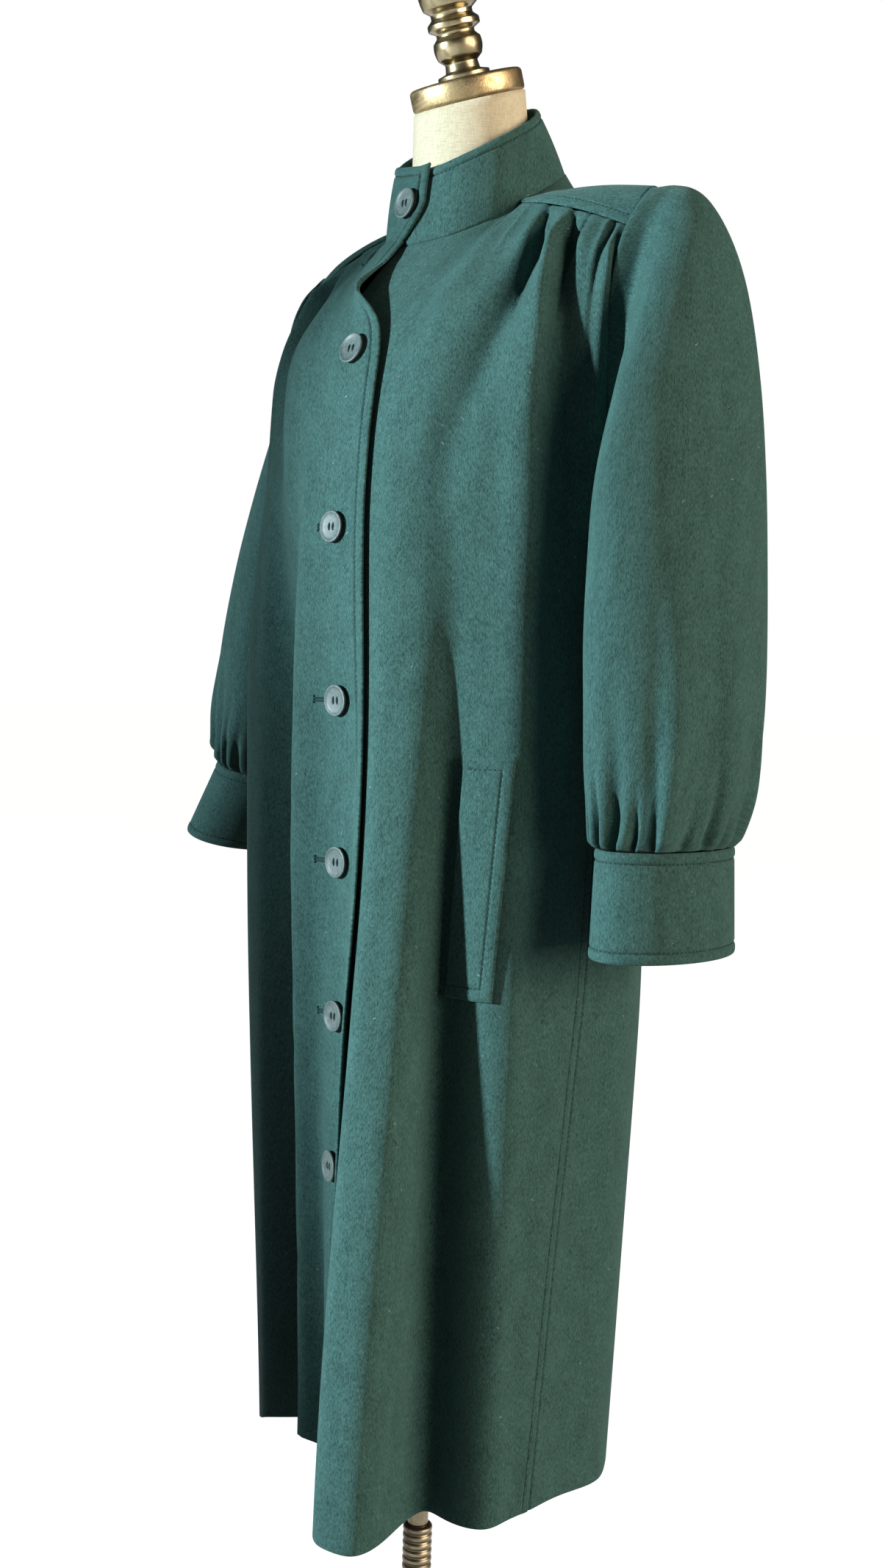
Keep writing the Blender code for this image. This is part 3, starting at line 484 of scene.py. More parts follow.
def press(grid, out, distance, at, depth=0.0013, width=0.0011):
    """Press a topstitched groove at a distance from an edge; the band beside it swells a little."""
    groove = -depth * np.exp(-((distance - at) / width) ** 2)
    swell = 0.0005 * np.exp(-((distance - at * 0.5) / (at * 0.42)) ** 2)
    return grid + out * (groove + swell)[..., None]


def points_at(line, run, at):
    """Points of a line where its run, or another rising measure of it, reaches the given marks."""
    return np.stack([np.interp(at, run, line[:, part]) for part in range(3)], -1)


def line_at(field, distance, at, axis):
    """Values of a field along the line where the distance reaches a mark."""
    field = np.moveaxis(field, axis, 1)
    distance = np.moveaxis(distance, axis, 1)
    return np.array([points_at(values, run, at) for values, run in zip(field, distance)])


def stitch_line(grid, out, run, at, axis, flip=False):
    """A topstitched line at a distance from an edge, and the normals along it."""
    if flip:
        grid, out, run = (np.flip(field, axis) for field in (grid, out, run))
    return line_at(grid, run, at, axis), line_at(out, run, at, axis)


def cloth_shell(name, outer, out, thick, closed=False, turn=0.0012):
    """A cloth panel as a closed wall whose edges are turned in a half round."""
    rows, columns = outer.shape[:2]
    thick = np.broadcast_to(thick, (rows, columns))[..., None]
    side = np.zeros_like(outer)
    side[0] += unit(outer[0] - outer[1])
    side[-1] += unit(outer[-1] - outer[-2])
    if not closed:
        side[:, 0] += unit(outer[:, 0] - outer[:, 1])
        side[:, -1] += unit(outer[:, -1] - outer[:, -2])
    side = side - out * (side * out).sum(-1, keepdims=True)
    side = np.where(np.linalg.norm(side, axis=-1, keepdims=True) > 0.3, unit(side), 0.0)
    pulled = outer - side * turn
    number = np.arange(rows * columns).reshape(rows, columns)
    spread = np.concatenate([outer, outer[:, :1]], 1) if closed else outer
    index = np.concatenate([number, number[:, :1]], 1) if closed else number
    flat = np.stack([run_of(spread, 1), run_of(spread, 0)], -1)
    corners = ((0, 0), (0, 1), (1, 1), (1, 0))
    high, wide = index.shape

    def corner(field, a, b):
        return field[a:high - 1 + a, b:wide - 1 + b].reshape((high - 1) * (wide - 1), -1)

    quads = np.concatenate([corner(index, *place) for place in corners], 1)
    quad_uvs = np.stack([corner(flat, *place) for place in corners], 1)
    if closed:
        chains = [[(0, c) for c in range(wide)], [(high - 1, c) for c in range(wide - 1, -1, -1)]]
    else:
        chain = [(0, c) for c in range(wide)]
        chain += [(r, wide - 1) for r in range(1, high)]
        chain += [(high - 1, c) for c in range(wide - 2, -1, -1)]
        chain += [(r, 0) for r in range(high - 2, -1, -1)]
        chains = [chain]
    points = [pulled.reshape(-1, 3)]
    faces = [quads]
    uvs = [quad_uvs]
    count = rows * columns
    inner_first = count
    points.append((pulled - out * thick).reshape(-1, 3))
    faces.append(quads[:, ::-1] + inner_first)
    uvs.append(quad_uvs[:, ::-1])
    total = 2 * count
    for chain in chains:
        loop = np.array([index[place] for place in chain])
        loop_uv = np.array([flat[place] for place in chain])
        own = loop[:-1]
        levels = [loop]
        for step in range(1, EDGE_STEPS):
            swing = math.pi * step / EDGE_STEPS
            middle = (pulled - out * thick * 0.5).reshape(-1, 3)[own]
            rise = (out * thick * 0.5).reshape(-1, 3)[own] * math.cos(swing)
            points.append(middle + rise + side.reshape(-1, 3)[own] * turn * math.sin(swing))
            ring = np.arange(total, total + len(own))
            levels.append(np.append(ring, ring[0]))
            total += len(own)
        levels.append(loop + inner_first)
        for upper, lower in zip(levels, levels[1:]):
            faces.append(np.stack([upper[1:], upper[:-1], lower[:-1], lower[1:]], 1))
            uvs.append(np.stack([loop_uv[1:], loop_uv[:-1], loop_uv[:-1], loop_uv[1:]], 1))
    points = np.concatenate(points)
    faces = np.concatenate(faces)
    uvs = np.concatenate(uvs)
    if (grid_normals(outer, closed) * out).sum() < 0:
        faces = faces[:, ::-1]
        uvs = uvs[:, ::-1]
    return mesh_piece(name, points, [tuple(face) for face in faces.tolist()], uvs)


def stitch_row(name, lines, pitch=0.0040, length=0.0029, size=0.00045):
    """Topstitching: short thread stitches that lie along lines of points with their normals."""
    points = []
    faces = []
    for line, out in lines:
        run = run_of(line[None], 1)[0]
        count = max(2, int(run[-1] / pitch))
        at = (np.arange(count) + 0.5) * run[-1] / count
        for middle in at:
            place = points_at(line, run, middle)
            ahead = points_at(line, run, middle + STITCH_LOOK)
            behind = points_at(line, run, middle - STITCH_LOOK)
            up = unit(points_at(out, run, middle))
            along = unit(ahead - behind)
            beside = unit(np.cross(along, up))
            first = len(points)
            points.append(place - along * length * 0.5 - up * size)
            for shift in (-0.3, 0.3):
                for turn in range(STITCH_SIDES):
                    swing = 2 * math.pi * turn / STITCH_SIDES
                    ring = up * math.cos(swing) + beside * math.sin(swing)
                    points.append(place + along * length * shift + ring * size + up * size * 0.6)
            points.append(place + along * length * 0.5 - up * size)
            last = len(points) - 1
            for turn in range(STITCH_SIDES):
                near = first + 1 + turn
                after = first + 1 + (turn + 1) % STITCH_SIDES
                faces.append((first, near, after))
                faces.append((near, near + STITCH_SIDES, after + STITCH_SIDES, after))
                faces.append((near + STITCH_SIDES, last, after + STITCH_SIDES))
    made = mesh_piece(name, np.array(points), faces)
    dress(made, thread, "green_wool")
    return made


WOOL_SHEEN = {
    "Sheen Weight": 0.10, "Sheen Roughness": 0.45, "Sheen Tint": (0.50, 0.82, 0.74, 1.0),
    "Specular IOR Level": 0.25,
}
wool = Finish("green_wool", WOOL_SHEEN, True)
nap_left = wool.noise((1150.0, 300.0, 1.0), 2.0, 0.30, 0.4)
nap_right = wool.noise((1150.0, 300.0, 1.0), 2.0, -0.22, 0.4)
felt = wool.noise((2300.0, 1500.0, 1.0), 2.0)
cloud = wool.noise((60.0, 26.0, 1.0), 3.0)
lint = wool.noise((420.0, 150.0, 1.0), 0.0, 1.1).past(0.86, 0.88)
nap = 0.5 * (nap_left + nap_right)
tuft = wool.noise((330.0, 120.0, 1.0), 3.0, 0.08, 0.8)
fibre = (nap - 0.5) * 2.8 + (felt - 0.5) * 1.2 + (tuft - 0.5) * 0.7 + (cloud - 0.5) * 0.5 + 0.5
wool_colour = wool.mix(fibre.held(), (0.0065, 0.0265, 0.0235, 1.0), (0.046, 0.119, 0.104, 1.0))
wool.feed("Base Color", wool.mix(lint * 0.5, wool_colour, (0.26, 0.30, 0.28, 1.0)))
wool.feed("Roughness", 0.86 + 0.12 * felt)
wool.bump(nap + 0.6 * felt + 0.5 * tuft, 0.0009, 0.6)

thread = Finish("sewing_thread", {"Specular IOR Level": 0.15})
twist = thread.noise((900.0, 900.0, 900.0), 2.0)
thread.feed("Base Color", thread.mix(twist, (0.0065, 0.023, 0.021, 1.0), (0.023, 0.057, 0.050, 1.0)))
thread.feed("Roughness", 0.6 + 0.2 * twist)
thread.bump(twist, 0.0003, 0.5)

half_shares = np.concatenate([
    [0.0, 0.006, 0.010],
    np.linspace(0.0120, 0.0200, 11),
    [0.023, 0.028],
    np.linspace(0.035, 0.5, 60),
])
BACK_SHARES = np.concatenate([half_shares, 1 - half_shares[:-1][::-1]])
BACK_LEVELS = np.concatenate([
    np.linspace(BACK_YOKE, level_of(0.24), 36),
    level_of(np.linspace(0.24, 1.0, 130)[1:]),
])
BACK_ARM_ROWS = 36


def back_panel():
    """Outer face of the back, from the yoke seam to the hem, left side seam to right."""
    grid = np.zeros((len(BACK_LEVELS), len(BACK_SHARES), 3))
    for index, level in enumerate(BACK_LEVELS):
        if level > UNDERARM:
            edge = float(curve(ARM_BACK, "angle", level))
        else:
            edge = float(np.interp(level, SIDE_SEAM["height"], SIDE_SEAM["angle"]))
        angles = even_angles(edge, 360.0 - edge, level, BACK_SHARES)
        share = np.clip((JOIN - level) / (JOIN - HEM), 0.0, 1.0)
        heights = level + (hem_height(angles) - HEM) * share
        grid[index] = body_point(angles, heights)
    return grid


back_edge_grid = back_panel()
back_out = -grid_normals(back_edge_grid)
from_left = run_of(back_edge_grid, 1)
from_right = from_left[:, -1:] - from_left
back_grid = press(back_edge_grid, back_out, from_left, STITCH_INSET)
back_grid = press(back_grid, back_out, from_right, STITCH_INSET)
back = cloth_shell("coat_back", back_grid, back_out, CLOTH)
dress(back, wool, "green_wool", "back")
below_arm = slice(BACK_ARM_ROWS, None)
back_lines = []
for run, flip in ((from_left, False), (from_right, True)):
    line, lean = stitch_line(back_grid, back_out, run, STITCH_INSET, 1, flip)
    back_lines.append((line[below_arm], lean[below_arm]))
back_stitches = stitch_row("back_stitches", back_lines)


# The yoke: one piece over the shoulders and the top of the back, cut to the neck.
# The fronts' gathers are sewn into its front edges, which are topstitched.
NECK = {
    "angle": (0, 30, 60, 90, 120, 150, 180),
    "side": (0.0, 0.036, 0.058, 0.067, 0.069, 0.047, 0.0),
    "forward": (0.053, 0.045, 0.024, -0.006, -0.048, -0.080, -0.091),
    "height": (1.370, 1.374, 1.386, 1.404, 1.430, 1.447, 1.452),
}
SHOULDER = {
    "along": (0.0, 0.35, 0.7, 1.0),
    "side": (0.067, 0.112, 0.158, 0.195),
    "forward": (-0.006, 0.009, 0.011, 0.002),
    "height": (1.404, 1.393, 1.379, 1.364),
}
SLOPE = {LEFT: 0.0, RIGHT: 0.020}
ARM_CORNER = body_point(curve(ARM_BACK, "angle", BACK_YOKE), BACK_YOKE)
ARM_TOP = {
    "along": (0.0, 0.25, 0.5, 0.75, 1.0),
    "side": (0.195, 0.198, 0.198, 0.189, ARM_CORNER[0]),
    "forward": (0.002, -0.010, -0.026, -0.043, -ARM_CORNER[1]),
    "height": (1.364, 1.390, 1.399, 1.380, BACK_YOKE),
}
ARM_PART = 0.46
YOKE_ALONG = np.concatenate([
    [0.0, 0.018, 0.030],
    np.linspace(0.036, 0.090, 19),
    np.linspace(0.10, ARM_PART, 24),
    np.linspace(ARM_PART, 1.0, 44)[1:],
])
YOKE_ARM = 46
YOKE_ACROSS = np.linspace(0.0, 1.0, 44)
YOKE_STITCH = 0.0085
YOKE_PROUD = 0.0016
YOKE_PROUD_FADE = 0.022
YOKE_CROWN = 0.004
YOKE_FADE = 0.3


def neck_point(angle):
    """A point of the neck seam; negative angles are on the right."""
    angle = np.asarray(angle, float)
    turn = np.abs(angle)
    side = np.sign(angle) * curve(NECK, "side", turn)
    return np.stack([side, -curve(NECK, "forward", turn), curve(NECK, "height", turn)], -1)


def seam_point(along, side):
    """A point of the front yoke seam."""
    return np.stack([
        side * curve(SHOULDER, "side", along),
        -curve(SHOULDER, "forward", along),
        curve(SHOULDER, "height", along) - SLOPE[side] * along,
    ], -1)


def yoke_half(side):
    """Outer face of half the yoke: rows from the neck to the armhole, columns from front to middle back."""
    grid = np.zeros((len(YOKE_ACROSS), len(YOKE_ALONG), 3))
    back_corner = float(curve(ARM_BACK, "angle", BACK_YOKE))
    front = seam_point(YOKE_ACROSS, side) * np.array([side, 1, 1])
    bow = front - (front[:1] + (front[-1:] - front[:1]) * YOKE_ACROSS[:, None])
    for column, place in enumerate(YOKE_ALONG):
        if place <= ARM_PART:
            t = place / ARM_PART
            height = curve(ARM_TOP, "height", t) - SLOPE[side] * (1 - ease((t - 0.4) / 0.6))
            outer = np.array([curve(ARM_TOP, "side", t), -curve(ARM_TOP, "forward", t), height])
        else:
            t = (place - ARM_PART) / (1 - ARM_PART)
            outer = body_point(back_corner + (180.0 - back_corner) * t, BACK_YOKE)
        inner = neck_point(90.0 + 90.0 * ease(0.15 * place + 0.85 * place ** 1.2) if place else 90.0)
        line = inner + (outer - inner) * YOKE_ACROSS[:, None]
        crown = np.stack([0 * YOKE_ACROSS, 0 * YOKE_ACROSS, YOKE_CROWN * np.sin(math.pi * YOKE_ACROSS)], -1)
        fade = float(ease(place / YOKE_FADE))
        grid[:, column] = line + bow * (1 - fade) + crown * fade
    grid[..., 0] *= side
    return grid


left_half = yoke_half(LEFT)
right_half = yoke_half(RIGHT)[:, ::-1]
yoke_edge_grid = np.concatenate([left_half, right_half[:, 1:]], axis=1)
yoke_out = -grid_normals(yoke_edge_grid)
from_left = run_of(yoke_edge_grid, 1)
from_right = from_left[:, -1:] - from_left
proud = YOKE_PROUD * (1 - ease(np.minimum(from_left, from_right) / YOKE_PROUD_FADE))
yoke_edge_grid = yoke_edge_grid + yoke_out * proud[..., None]
yoke_grid = press(yoke_edge_grid, yoke_out, from_left, YOKE_STITCH)
yoke_grid = press(yoke_grid, yoke_out, from_right, YOKE_STITCH)
yoke = cloth_shell("coat_yoke", yoke_grid, yoke_out, CLOTH)
dress(yoke, wool, "green_wool", "yoke")
yoke_lines = [
    stitch_line(yoke_grid, yoke_out, from_left, YOKE_STITCH, 1),
    stitch_line(yoke_grid, yoke_out, from_right, YOKE_STITCH, 1, True),
]
yoke_stitches = stitch_row("yoke_stitches", yoke_lines)


# The fronts: two wool panels gathered into the yoke; the right one laps over the left and buttons.
# Their edges are faced inside, and the right edge is topstitched and rolls open a little at the neck.
GATHER_PATHS = {
    "depth": (0.0, 0.03, 0.06, 0.10, 0.14, 0.20, 0.24, 0.30, 0.46),
    "chest ridge": (0.41, 0.42, 0.43, 0.44, 0.45, 0.41, 0.39, 0.38, 0.38),
    "first pleat": (0.61, 0.625, 0.635, 0.64, 0.64, 0.64, 0.64, 0.64, 0.64),
    "chest trough": (0.68, 0.685, 0.68, 0.67, 0.63, 0.56, 0.50, 0.49, 0.51),
    "main ridge": (0.735, 0.745, 0.755, 0.755, 0.755, 0.72, 0.705, 0.70, 0.70),
    "small pleat": (0.875, 0.845, 0.828, 0.82, 0.82, 0.82, 0.82, 0.82, 0.82),
    "arm hollow": (0.80, 0.80, 0.805, 0.805, 0.81, 0.815, 0.815, 0.815, 0.82),
    "arm ridge": (0.975, 0.975, 0.96, 0.935, 0.92, 0.91, 0.905, 0.90, 0.90),
}
GATHERS = (
    # name, push, width across, length down
    ("chest ridge", 0.007, 0.070, 0.36),
    ("first pleat", 0.008, 0.024, 0.11),
    ("chest trough", -0.014, 0.042, 0.42),
    ("main ridge", 0.015, 0.036, 0.46),
    ("small pleat", 0.007, 0.024, 0.10),
    ("arm hollow", -0.016, 0.036, 0.45),
    ("arm ridge", 0.012, 0.030, 0.40),
)
CREASE_PATHS = {
    "depth": (0.0, 0.03, 0.06, 0.10, 0.14, 0.20, 0.24, 0.30, 0.46),
    "neck pleat": (0.52, 0.525, 0.53, 0.54, 0.55, 0.55, 0.55, 0.55, 0.55),
    "first fold": (0.640, 0.655, 0.664, 0.668, 0.668, 0.668, 0.668, 0.668, 0.668),
    "main fold": (0.772, 0.784, 0.794, 0.795, 0.790, 0.765, 0.748, 0.742, 0.742),
    "small fold": (0.845, 0.822, 0.806, 0.80, 0.80, 0.80, 0.80, 0.80, 0.80),
    "arm pleat": (0.925, 0.915, 0.90, 0.89, 0.88, 0.87, 0.87, 0.87, 0.87),
    "arm fold": (0.945, 0.94, 0.928, 0.908, 0.893, 0.883, 0.88, 0.88, 0.88),
}
FRONT_CREASES = (
    # name, push, width across, length down
    ("neck pleat", 0.0022, 0.014, 0.10),
    ("first fold", -0.0050, 0.010, 0.15),
    ("main fold", -0.0056, 0.013, 0.36),
    ("small fold", -0.0040, 0.009, 0.12),
    ("arm pleat", 0.0030, 0.010, 0.12),
    ("arm fold", -0.0045, 0.010, 0.30),
)
CLOSING = {
    "height": (0.28, 0.60, 0.80, 1.00, 1.12, 1.255),
    "over": (9.0, 15.5, 22.0, 20.3, 18.0, 16.5),
    "under": (-6.0, -7.0, -8.0, -9.5, -14.0, -20.0),
}
ARM_FRONT = {
    "height": (1.165, 1.20, 1.255),
    "angle": (94.0, 92.0, 89.5),
}
NECK_SHARE = 0.42
NECK_START = {LEFT: -17.0, RIGHT: 9.0}
FRONT_LONG = 1.08
GAPE_AT = 0.078
GAPE_LONG = 0.030
GAPE_PULL = (0.013, 0.018, 0.0)
GAPE_SHARE = 0.20
ARM_HELD = 0.04
LAP_CLEAR = 0.0012
LAP_NECK = 0.30
LAP_GROWTH = 0.20
LAP_SLOPE = 0.14
UNDER_DROP = 0.0024
UNDER_NECK_DROP = 0.0008
UNDER_SHARE = 0.46
UNDER_SLOPE = 0.12
BUTTONS = {
    "level": (1.272, 1.126, 0.985, 0.852, 0.724, 0.598),
    "across": (0.002, 0.007, 0.016, 0.019, 0.020, 0.021),
}
HOLE_STARTS = (-0.0140, -0.0200, -0.0280, -0.0280, -0.0280, -0.0140)
HOLE_END = -0.0060
HOLE_HALF = 0.0011
HOLE_BAR = 0.0034
SEAT_DOWN = 0.01
SEAT_ACROSS = 0.008
EDGE_STITCH = 0.0100
LAP_SHARE = 0.47
FRONT_ACROSS = np.concatenate([
    [0.0, 0.009, 0.017, 0.023],
    np.linspace(0.0265, 0.0460, 12),
    [0.050, 0.057, 0.065],
    np.linspace(0.075, 0.37, 30),
    np.linspace(0.376, 1.0, 105),
])
FRONT_ARM_ROWS = 61
FRONT_ROWS = np.concatenate([
    np.linspace(0.0, 0.24, FRONT_ARM_ROWS),
    np.linspace(0.24, 1.0, 130)[1:],
])


def front_panel(side, rows=FRONT_ROWS):
    """Outer face of one front, from its neck and yoke seam to its hem."""
    across = FRONT_ACROSS
    columns = len(across)
    over = side == RIGHT
    start = NECK_START[side]
    top = np.zeros((columns, 3))
    for index, share in enumerate(across):
        if share <= NECK_SHARE:
            top[index] = neck_point(side * (start + (90.0 - start) * share / NECK_SHARE))
        else:
            top[index] = seam_point((share - NECK_SHARE) / (1 - NECK_SHARE), side)
    grid = np.zeros((len(rows), columns, 3))

    def ring(height):
        outer_edge = np.interp(height, SIDE_SEAM["height"], SIDE_SEAM["angle"])
        if height > UNDERARM:
            outer_edge = curve(ARM_FRONT, "angle", height)
        inner_edge = float(curve(CLOSING, "over" if over else "under", height))
        return even_angles(inner_edge, side * float(outer_edge), height, across)

    join = body_point(ring(JOIN), np.full(columns, JOIN))
    below = body_point(ring(JOIN - 0.01), np.full(columns, JOIN - 0.01))
    reach = np.linalg.norm(top - join, axis=1)[:, None]
    leave = np.stack([0 * across, -0.72 + 0.12 * across, -0.66 - 0.18 * across], -1)
    arrive = unit(below - join)
    for index, row in enumerate(rows):
        if row < UPPER:
            t = row / UPPER
            grid[index] = (
                top * (1 + 2 * t) * (1 - t) ** 2
                + leave * reach * t * (1 - t) ** 2
                + join * t * t * (3 - 2 * t)
                + arrive * reach * t * t * (t - 1)
            )
        else:
            share = (row - UPPER) / (1 - UPPER)
            angles = ring(float(level_of(row)))
            heights = JOIN + (hem_height(angles) - JOIN) * share
            grid[index] = body_point(angles, heights)
    normals = -side * grid_normals(grid)
    depth = np.array(rows)[:, None] * FRONT_LONG
    held = ease((1 - across[None, :]) / ARM_HELD)
    for name, push, width, length in GATHERS:
        t = np.clip(depth / length, 0.0, 1.0)
        swell = np.minimum(1.0, 0.04 + (depth / 0.045) ** 1.4) * (1 - ease(t)) * held
        off = across[None, :] - curve(GATHER_PATHS, name, depth)
        ridge = np.exp(-(off / (width * (1 + 0.8 * t))) ** 2)
        grid = grid + normals * (push * swell * ridge)[..., None]
    for name, push, width, length in FRONT_CREASES:
        swell = np.minimum(1.0, 0.25 + depth / 0.016) * (1 - ease(depth / length)) * held
        off = across[None, :] - curve(CREASE_PATHS, name, depth)
        grid = grid + normals * (push * swell * np.exp(-(off / width) ** 2))[..., None]
    lift = np.zeros((len(rows), columns))
    if over:
        lap = ease((LAP_NECK + LAP_GROWTH * ease(depth / 0.1) - across[None, :]) / LAP_SLOPE)
        lift = lift + (CLOTH + LAP_CLEAR) * lap
        roll = np.clip(1 - across[None, :] / GAPE_SHARE, 0.0, 1.0) ** 1.6
        gape = roll * np.exp(-((depth - GAPE_AT) / GAPE_LONG) ** 2) * ease(depth / 0.03)
        grid = grid - gape[..., None] * np.array(GAPE_PULL)
    else:
        under = ease((UNDER_SHARE - across[None, :]) / UNDER_SLOPE)
        under = under * (0.5 + 0.5 * ease(depth / 0.02))
        lift = lift - (UNDER_DROP + UNDER_NECK_DROP * ease((0.22 - depth) / 0.1)) * under
    return grid + normals * lift[..., None]


def seat(grid, level, side):
    """A place on an outer face at a height and sideways offset: its point and outward normal."""
    columns = np.moveaxis(grid[::-1, ::-1], 1, 0)
    line = np.array([points_at(column, column[:, 2], level) for column in columns])
    below = np.array([points_at(column, column[:, 2], level - SEAT_DOWN) for column in columns])
    point = Vector(points_at(line, line[:, 0], side))
    lower = Vector(points_at(below, below[:, 0], side))
    ahead = Vector(points_at(line, line[:, 0], side + SEAT_ACROSS))
    behind = Vector(points_at(line, line[:, 0], side - SEAT_ACROSS))
    return point, (lower - point).cross(ahead - behind).normalized()


def buttonholes(grid):
    """Worked buttonholes by the buttons: two close rows of thread on each slit, and a bar at its end."""
    rows = []
    for level, across, start in zip(*BUTTONS.values(), HOLE_STARTS):
        for rise in (-HOLE_HALF, HOLE_HALF):
            steps = np.linspace(across + start, across + HOLE_END, 12)
            rows.append([seat(grid, level + rise, step) for step in steps])
        rises = np.linspace(-HOLE_BAR, HOLE_BAR, 6)
        rows.append([seat(grid, level + rise, across + start) for rise in rises])
    lines = [tuple(np.array(field) for field in zip(*row)) for row in rows]
    return stitch_row("buttonholes", lines, pitch=0.0011, length=0.0014, size=0.0008)


left_grid = front_panel(LEFT)
left_out = -grid_normals(left_grid)
left_front = cloth_shell("coat_front_left", left_grid, left_out, CLOTH)
dress(left_front, wool, "green_wool", "front_left")

right_edge_grid = front_panel(RIGHT)
right_out = grid_normals(right_edge_grid)
from_edge = run_of(right_edge_grid, 1)
right_grid = press(right_edge_grid, right_out, from_edge, EDGE_STITCH)
right_front = cloth_shell("coat_front_right", right_grid, right_out, CLOTH)
dress(right_front, wool, "green_wool", "front_right")
edge_line = stitch_line(right_grid, right_out, from_edge, EDGE_STITCH, 1)
edge_stitches = stitch_row("closing_stitches", [edge_line])
lap_grid = right_edge_grid[:, FRONT_ACROSS < LAP_SHARE]
holes = buttonholes(lap_grid)


# The collar: a doubled, stiffened band that stands round the neck and laps right over left.
# It is sewn to the neck edge and topstitched along its top and its lapped end.
COLLAR = {
    "angle": (0, 45, 90, 135, 180),
    "rise": (0.063, 0.065, 0.064, 0.056, 0.053),
    "lean": (0.010, 0.007, 0.007, 0.025, 0.0288),
}
COLLAR_UNDER = -16.0
COLLAR_OVER = 369.0
COLLAR_SLANT = 18.0
COLLAR_SLANT_FROM = 335.0
COLLAR_SLANT_HIGH = 0.5
COLLAR_LAP_FROM = 296.0
COLLAR_LAP_CLEAR = 0.0008
COLLAR_SUNK = 0.0016
COLLAR_LAP_RISE = 0.0036
COLLAR_BELLY = 0.0013
COLLAR_STITCH = 0.0080
COLLAR_TURNS = np.concatenate([
    np.linspace(COLLAR_UNDER, 358.0, 210),
    np.linspace(360.5, COLLAR_OVER - 3.0, 16),
    [COLLAR_OVER - 1.8, COLLAR_OVER],
])
COLLAR_LEVELS = np.concatenate([
    np.linspace(0.0, 0.80, 16),
    np.linspace(0.825, 0.93, 14),
    [0.96, 1.0],
])


def collar_face():
    """Outer face of the collar, from its left end under the lap to its right end."""
    turns = COLLAR_TURNS
    folded = np.abs(turn_off(turns, 0.0))
    sides = np.where(np.mod(turns, 360.0) > 180.0, -1.0, 1.0)
    foot = neck_point(folded * sides)
    foot[:, 0] = np.abs(foot[:, 0]) * sides
    away = unit(np.stack([foot[:, 0], foot[:, 1] * 0.9, 0 * turns], -1))
    lap = ease((turns - COLLAR_LAP_FROM) / 40.0)[:, None]
    foot = foot + away * (DOUBLE + COLLAR_LAP_CLEAR) * lap
    foot[:, 2] = foot[:, 2] - COLLAR_SUNK + COLLAR_LAP_RISE * lap[:, 0]
    rise = curve(COLLAR, "rise", folded)
    lean = curve(COLLAR, "lean", folded)
    top = foot - away * lean[:, None] + np.stack([0 * rise, 0 * rise, rise], -1)
    belly = COLLAR_BELLY * np.sin(math.pi * COLLAR_LEVELS)[:, None, None]
    grid = foot + (top - foot) * COLLAR_LEVELS[:, None, None] + away[None] * belly
    for row, level in enumerate(COLLAR_LEVELS):
        drawn = COLLAR_SLANT * max(0.0, 1 - level / COLLAR_SLANT_HIGH) ** 1.6
        at = turns - drawn * ease((turns - COLLAR_SLANT_FROM) / (COLLAR_OVER - COLLAR_SLANT_FROM))
        grid[row] = points_at(grid[row], turns, at)
    return grid


collar_edge_grid = collar_face()
collar_out = grid_normals(collar_edge_grid)
from_foot = run_of(collar_edge_grid, 0)
from_top = from_foot[-1:] - from_foot
from_start = run_of(collar_edge_grid, 1)
from_end = from_start[:, -1:] - from_start
collar_grid = press(collar_edge_grid, collar_out, np.minimum(from_top, from_end), COLLAR_STITCH)
collar = cloth_shell("coat_collar", collar_grid, collar_out, DOUBLE, turn=0.0018)
dress(collar, wool, "green_wool", "collar")
collar_lines = []
for run, axis, kept in (
    (from_top, 0, COLLAR_TURNS < COLLAR_OVER - 7.0),
    (from_end, 1, COLLAR_LEVELS < 0.87),
):
    line, lean = stitch_line(collar_grid, collar_out, run, COLLAR_STITCH, axis, True)
    collar_lines.append((line[kept], lean[kept]))
collar_stitches = stitch_row("collar_stitches", collar_lines)


# The sleeves: full bishop sleeves set into the armholes, slightly eased at the shoulder.
# Their fullness drops to the wrist and is gathered there into the cuffs.
SLEEVE_LEFT = {
    "ring": (0, 1, 2, 3, 4, 5, 6, 7, 8, 9, 10, 11),
    "top_side": (0.199, 0.213, 0.235, 0.256, 0.269, 0.276, 0.281, 0.285, 0.287, 0.285, 0.278, 0.272),
    "top_height": (1.394, 1.399, 1.388, 1.350, 1.285, 1.205, 1.115, 1.030, 0.970, 0.925, 0.893, 0.878),
    "low_side": (0.178, 0.190, 0.191, 0.190, 0.188, 0.184, 0.181, 0.181, 0.182, 0.185, 0.188, 0.190),
    "low_height": (1.165, 1.158, 1.142, 1.122, 1.095, 1.060, 1.015, 0.970, 0.935, 0.908, 0.888, 0.878),
    "back": (0.020, 0.034, 0.036, 0.032, 0.028, 0.030, 0.032, 0.034, 0.034, 0.033, 0.031, 0.029),
    "depth": (0.070, 0.048, 0.059, 0.076, 0.089, 0.094, 0.096, 0.095, 0.092, 0.086, 0.078, 0.072),
}
